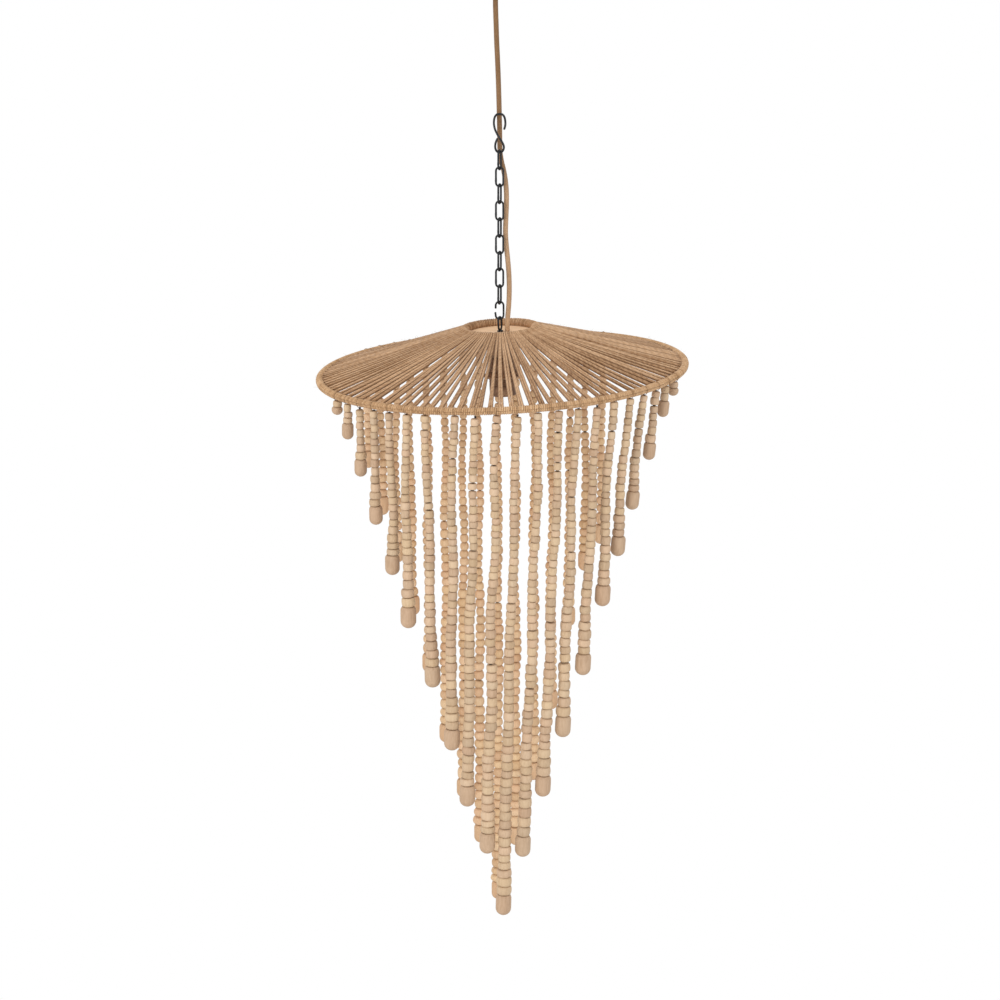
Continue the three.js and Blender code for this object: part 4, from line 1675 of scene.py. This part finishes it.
    def add_bead(self, beads: Shape, depth: float, tall: float, share: float, flare: float) -> tuple:
        """Adds one bead.

        Args:
            beads: The strand's wooden shape.
            depth: Where the bead starts.
            tall: Its height.
            share: Its start as a share of the strand's length.
            flare: How much larger it is for being near the drop bead.

        Returns:
            Its sway and its tilt, which a knot below it shares.
        """
        rng = self.rng
        uneven = rng.uniform(*self.width_play)
        uneven += self.width_wave * math.sin(self.wave + depth * self.width_wave_rate)
        wide = self.diameter(share) * uneven * flare
        swung = math.sin(self.phase + depth * self.swing_rate) - math.sin(self.phase)
        sway = self.widest_swing * swung * min(1.0, (1 - share) / self.settle)
        sway += rng.uniform(-self.jitter, self.jitter)
        tilt = Matrix.Rotation(math.radians(rng.gauss(0, self.tilt_degrees[0])), 4, "X")
        tilt = tilt @ Matrix.Rotation(math.radians(rng.gauss(0, self.tilt_degrees[1])), 4, "Y")
        turn = Matrix.Rotation(rng.uniform(0, FULL_TURN), 4, "Z")
        size = Matrix.Diagonal((wide / 2, wide / 2, (tall - self.joint_gap) / 2, 1))
        beads.copy_of(self.bead, self.on_line(depth + tall / 2, sway) @ tilt @ turn @ size, rng.random())
        return sway, tilt

    def add_knot(self, wire: Shape, depth: float, sway: float, tilt: Matrix) -> float:
        """Adds a knot in a gap between two beads.

        Args:
            wire: The strand's wire shape.
            depth: Where the gap starts.
            sway: The sway of the bead above.
            tilt: The tilt of the bead above.

        Returns:
            The gap's height.
        """
        gap = self.rng.uniform(*self.knot_gap)
        profile = [(self.knot_radius * across, gap * up) for across, up in self.KNOT_OUTLINE]
        wire.turned(profile, self.knot_steps, self.on_line(depth + gap / 2, sway) @ tilt)
        return gap

    def add_beads(self, beads: Shape, wire: Shape) -> None:
        """The beads, from the stem down to the drop bead.

        Args:
            beads: The strand's wooden shape.
            wire: The strand's wire shape, which shows in the gaps.
        """
        depth = self.stem
        while depth < self.low - self.least_height:
            share = max(0.0, depth / self.length)
            near_end = max(0.0, 1 - (self.low - depth) / self.flare_length)
            flare = 1 + self.flare * self.end_share * near_end ** self.flare_power
            tall = self.next_height(depth, share, flare)
            sway, tilt = self.add_bead(beads, depth, tall, share, flare)
            depth += tall
            if self.rng.random() < self.knot_chance and depth < self.low - self.knot_keep_off:
                depth += self.add_knot(wire, depth, sway, tilt)
        self.add_end(beads)
        bottom = self.origin + self.down * (self.length - self.end_tall / 2)
        wire.tube([self.place + self.hang * (RIM_RADIUS + self.loop_wire), self.origin, bottom], self.loop_wire / 2,
                  self.wire_sides)

    def add_end(self, beads: Shape) -> None:
        """The plain drop bead, flat-sided with a round bottom.

        Args:
            beads: The strand's wooden shape.
        """
        height = self.end_tall
        radius = self.end_diameter * self.end_share / 2 * self.end_slimness
        neck = min(self.neck_width, height / self.neck_slimness / radius) * radius
        round_height = min(radius * self.end_round, height * self.end_round_limit)
        profile = [(radius * across, neck * up) for across, up in self.NECK_OUTLINE]
        profile += arc((0, -(height - round_height)), (radius, -round_height), 0, math.pi / 2, self.round_steps)[:-1]
        profile.append((0, -height))
        beads.turned(profile, self.end_steps, self.on_line(self.low), tone=self.rng.uniform(*self.end_tones),
                     edges=self.NECK_EDGES)


@dataclass(frozen=True)
class Stretch:
    """A stretch of the cord, by its heights in mm. It rides on one body, or names the two bodies that it lies
    between and rides on none.
    """

    name: str
    high: float
    low: float
    upper_body: str
    lower_body: Optional[str] = None


@dataclass
class Cord:
    """The covered cord, from the ceiling cup down beside the chain and into the shade."""

    finishes: Finishes
    diameter: float = 8.2 * MM
    sides: int = 16
    route_steps: int = 10
    overlap: float = 3 * MM
    tolerance: float = 1e-6
    shade_fade_top: float = -70 * MM
    shade_fade: float = 60 * MM
    bend_reach: float = 13 * MM
    bend_keep_off: float = 12 * MM
    crease: float = math.radians(60)

    # The route in mm, which repeats the one that the solids follow
    UPPER_ROUTE = ((-6.5, 8, 186), (-6.4, 8, 170), (-5.6, 8, 145), (-4.6, 8, 115), (-3.2, 8, 85), (-2, 8, 55),
                   (-1.1, 8.4, 25), (-0.5, 9.6, 0), (0, 11.3, -22), (0.2, 12.4, -38), (0.3, 12.6, -50))
    LOWER_ROUTE = ((0.3, 12.6, -50.3), (0.9, 12.8, -62), (3.2, 12.9, -76), (6.6, 12.4, -90), (9.4, 11.4, -106),
                   (10.9, 10.4, -124), (11, 9.7, -144), (10.2, 9.3, -166), (9.6, 9.2, -190), (11, 9, -212),
                   (13.4, 8.6, -236), (15.2, 8.1, -260), (15.7, 7.2, -284), (15, 5.8, -306), (13.4, 4, -326),
                   (12.5, 2.8, -340), (12.75, 2.4, -351), (13.36, 2.4, -364))
    STRETCHES = (
        Stretch("cord_run_1", 186, -20, "hook"),
        Stretch("cord_run_2", -20, -92, "hook", "link_1"),
        Stretch("cord_run_3", -92, -147, "link_2", "link_3"),
        Stretch("cord_run_4", -147, -201, "link_4", "link_5"),
        Stretch("cord_run_5", -201, -256, "link_6", "link_7"),
        Stretch("cord_run_6", -256, -310, "link_8", "link_9"),
        Stretch("cord_run_7", -310, -364, "open_link", "shade"),
    )

    def build(self) -> None:
        """Builds and dresses every stretch."""
        points = [Vector(point) * MM for point in self.UPPER_ROUTE + self.LOWER_ROUTE[1:]]
        line = smooth_path(points, self.route_steps)
        for stretch in self.STRETCHES:
            self.build_stretch(stretch, line)

    def build_stretch(self, stretch: Stretch, line: Sequence[Vector]) -> None:
        """Args:
            stretch: Which one.
            line: The whole cord's centreline, from the cup down.
        """
        first = stretch.lower_body is None
        low = stretch.low * MM
        top = stretch.high * MM + (0 if first else self.overlap)
        path = [point for point in line if low - self.tolerance <= point.z <= top + self.tolerance]
        shape = Shape()
        for vert in shape.tube(path, self.diameter / 2, self.sides):
            # Painted shade: the cover is darkest above the fade's top and brightens over the fade's length below it.
            vert[shape.tone] = min(1.0, max(0.0, (self.shade_fade_top - vert.co.z) / self.shade_fade))
        cord = piece(shape, stretch.name, self.finishes.cord_cover, stretch.upper_body if first else None,
                     ["cord_upper"] if first else ["cord_lower"], self.crease)
        if not first:
            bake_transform(cord)

    @staticmethod
    def hinge_heights() -> list:
        """The heights of the chain's hinges, from the top down.

        Returns:
            The heights.
        """
        heights = [HOOK_BOTTOM + HOOK_WIRE / 2]
        for index in range(LINK_COUNT):
            heights.append(FIRST_LINK_TOP - (LINK_LENGTH - LINK_WIRE) - index * LINK_PITCH)
        heights.append(OPEN_LINK_BOTTOM)
        return heights


@dataclass
class CeilingCup:
    """The cup at the ceiling that the cord comes out of, with its grip."""

    finishes: Finishes
    x: float = -6.5 * MM
    y: float = 8 * MM
    bottom: float = 186.3 * MM
    neck_radius: float = 8 * MM
    neck_height: float = 9 * MM
    radius: float = 55 * MM
    height: float = 26 * MM
    wall: float = 2.4 * MM
    bevel: float = 1.2 * MM
    steps: int = 72

    # The bell's outside, and the knee and shoulder of its inside, as shares of its radius and height
    bell_steps: int = 8
    bell_power: float = 0.9
    bell_height: float = 0.72
    inner_shoulder: float = 0.75
    inner_knee: tuple = (0.6, 0.32)

    def build(self) -> None:
        """Builds and dresses the cup: a softly stepped bell with a grip nut, open by its wire hole on top."""
        bell = self.bottom + self.neck_height
        top = bell + self.height
        neck, inside = self.neck_radius, self.radius - self.wall
        outer = [(0, self.bottom), (neck - self.bevel, self.bottom), (neck, self.bottom + self.bevel),
                 (neck, bell - self.bevel)]
        for step in range(self.bell_steps + 1):
            angle = math.pi / 2 * step / self.bell_steps
            outer.append((neck + (self.radius - neck) * math.sin(angle) ** self.bell_power,
                          bell + self.height * self.bell_height * (1 - math.cos(angle))))
        outer += [(self.radius, top - self.bevel), (self.radius - self.bevel, top), (neck, top),
                  (neck, top - self.wall), (inside, top - self.wall),
                  (inside, bell + self.height * self.inner_shoulder),
                  (self.radius * self.inner_knee[0], bell + self.height * self.inner_knee[1]),
                  (neck, bell + self.wall), (0, bell + self.wall)]
        shape = Shape()
        shape.turned(outer, self.steps, Matrix.Translation((self.x, self.y, 0)))
        piece(shape, "ceiling_cup_shell", self.finishes.black_steel, Body.HOOK, ["ceiling_cup"])


@dataclass(frozen=True)
class Lamp:
    """One soft square lamp."""

    name: str
    power: float
    size: float
    place: tuple
    aim: tuple

    def add(self) -> None:
        """Adds the lamp, turned to its aim."""
        data = bpy.data.lights.new(self.name, "AREA")
        data.energy = self.power
        data.size = self.size
        lamp = add_object(self.name, data)
        lamp.location = self.place
        direction = Vector(self.aim) - Vector(self.place)
        lamp.rotation_euler = direction.to_track_quat("-Z", "Y").to_euler()


@dataclass
class Studio:
    """A white studio: camera, floor, backdrop and soft lamps."""

    camera_height: float = 443.4 * MM
    camera_distance: float = 4000 * MM
    look_down: float = math.radians(15.094)
    focal_length: float = 89.81
    sensor: float = 36.0
    shift_x: float = 0.0004
    far_clip: float = 50
    floor_height: float = -1.62
    floor_reach: float = 12
    floor_grey: float = 0.8
    floor_roughness: float = 0.9
    ambient: float = 0.85
    lamps: tuple = (
        Lamp("key", 56, 2.2, (-2.2, -3.1, 0.3), (0, 0, -1.1)),
        Lamp("fill", 24, 2.6, (3.0, -2.2, 0.2), (0, 0, -0.8)),
        Lamp("top", 11, 1.8, (0.3, 0.6, 2.6), (0, 0, -0.5)),
    )

    def build(self) -> None:
        """Sets up everything that isn't the object."""
        self.add_camera()
        self.add_floor()
        self.add_world()
        for lamp in self.lamps:
            lamp.add()
        bpy.context.scene.view_settings.view_transform = "Standard"

    def add_camera(self) -> None:
        """The photograph's own view, from about 4 m off."""
        data = bpy.data.cameras.new("camera")
        data.lens = self.focal_length
        data.sensor_width = self.sensor
        data.shift_x = self.shift_x
        data.clip_end = self.far_clip
        camera = add_object("camera", data)
        camera.location = (0, -self.camera_distance, self.camera_height)
        camera.rotation_euler = (math.pi / 2 - self.look_down, 0, 0)
        bpy.context.scene.camera = camera

    def white(self, name: str) -> bpy.types.Material:
        """A material that is plain white to the camera and in reflections, and pale grey to the light.

        From its back it is clear, so a camera below the floor sees through it.

        Args:
            name: The material's name.

        Returns:
            The finished material.
        """
        n = Nodes(name)
        n.finish((self.floor_grey,) * 3, self.floor_roughness)
        glow = n.add("Emission", {"Color": (1.0, 1.0, 1.0), "Strength": 1.0})
        rays = n.add("LightPath")
        seen = n.math("MAXIMUM", rays.outputs["Is Camera Ray"], rays.outputs["Is Glossy Ray"])
        seen = n.math("MAXIMUM", seen, rays.outputs["Is Transmission Ray"])
        front = n.add("MixShader", {0: seen, 1: n.shader.outputs[0], 2: glow.outputs[0]})
        behind = n.add("NewGeometry").outputs["Backfacing"]
        mix = n.add("MixShader", {0: behind, 1: front.outputs[0], 2: n.add("BsdfTransparent").outputs[0]})
        n.tree.links.new(mix.outputs[0], n.tree.nodes["Material Output"].inputs["Surface"])
        return n.material

    def add_floor(self) -> None:
        """A pale floor below the object."""
        bm = bmesh.new()
        bmesh.ops.create_grid(bm, x_segments=1, y_segments=1, size=self.floor_reach,
                              matrix=Matrix.Translation((0, 0, self.floor_height)))
        mesh = bpy.data.meshes.new("floor")
        bm.to_mesh(mesh)
        bm.free()
        mesh.materials.append(self.white("floor_white"))
        add_object("floor", mesh)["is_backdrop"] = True

    def add_world(self) -> None:
        """The same white all round, a little dimmer as a light than to the camera."""
        world = bpy.data.worlds.new("studio")
        world.use_nodes = True
        tree = world.node_tree
        background = tree.nodes["Background"]
        background.inputs["Color"].default_value = (1, 1, 1, 1)
        rays = tree.nodes.new("ShaderNodeLightPath")
        dimmed = tree.nodes.new("ShaderNodeMapRange")
        dimmed.inputs["To Min"].default_value = self.ambient
        dimmed.inputs["To Max"].default_value = 1.0
        seen = tree.nodes.new("ShaderNodeMath")
        seen.operation = "MAXIMUM"
        tree.links.new(rays.outputs["Is Camera Ray"], seen.inputs[0])
        tree.links.new(rays.outputs["Is Glossy Ray"], seen.inputs[1])
        tree.links.new(seen.outputs[0], dimmed.inputs["Value"])
        tree.links.new(dimmed.outputs["Result"], background.inputs["Strength"])
        bpy.context.scene.world = world


def plain(bounds: Iterable) -> list:
    """A box's two corners as plain lists of numbers."""
    return [[float(value) for value in corner] for corner in bounds]


def main() -> None:
    """Builds the whole scene around the frame."""
    logging.basicConfig(level=logging.INFO, format="%(relativeCreated)d ms %(message)s")
    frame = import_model()
    cad_box = plain(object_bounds())
    Studio().build()
    finishes = Finishes()
    Cord(finishes).build()
    CeilingCup(finishes).build()
    Chain(finishes).build()
    EyeAndPlate(finishes).build()
    TwineCone(finishes).build()
    LampHolder(finishes).build()
    for side in Side:
        BeadCurtain(finishes, side).build()
    {"cad": cad_box, "visual": plain(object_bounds())}


if __name__ == "__main__":
    main()
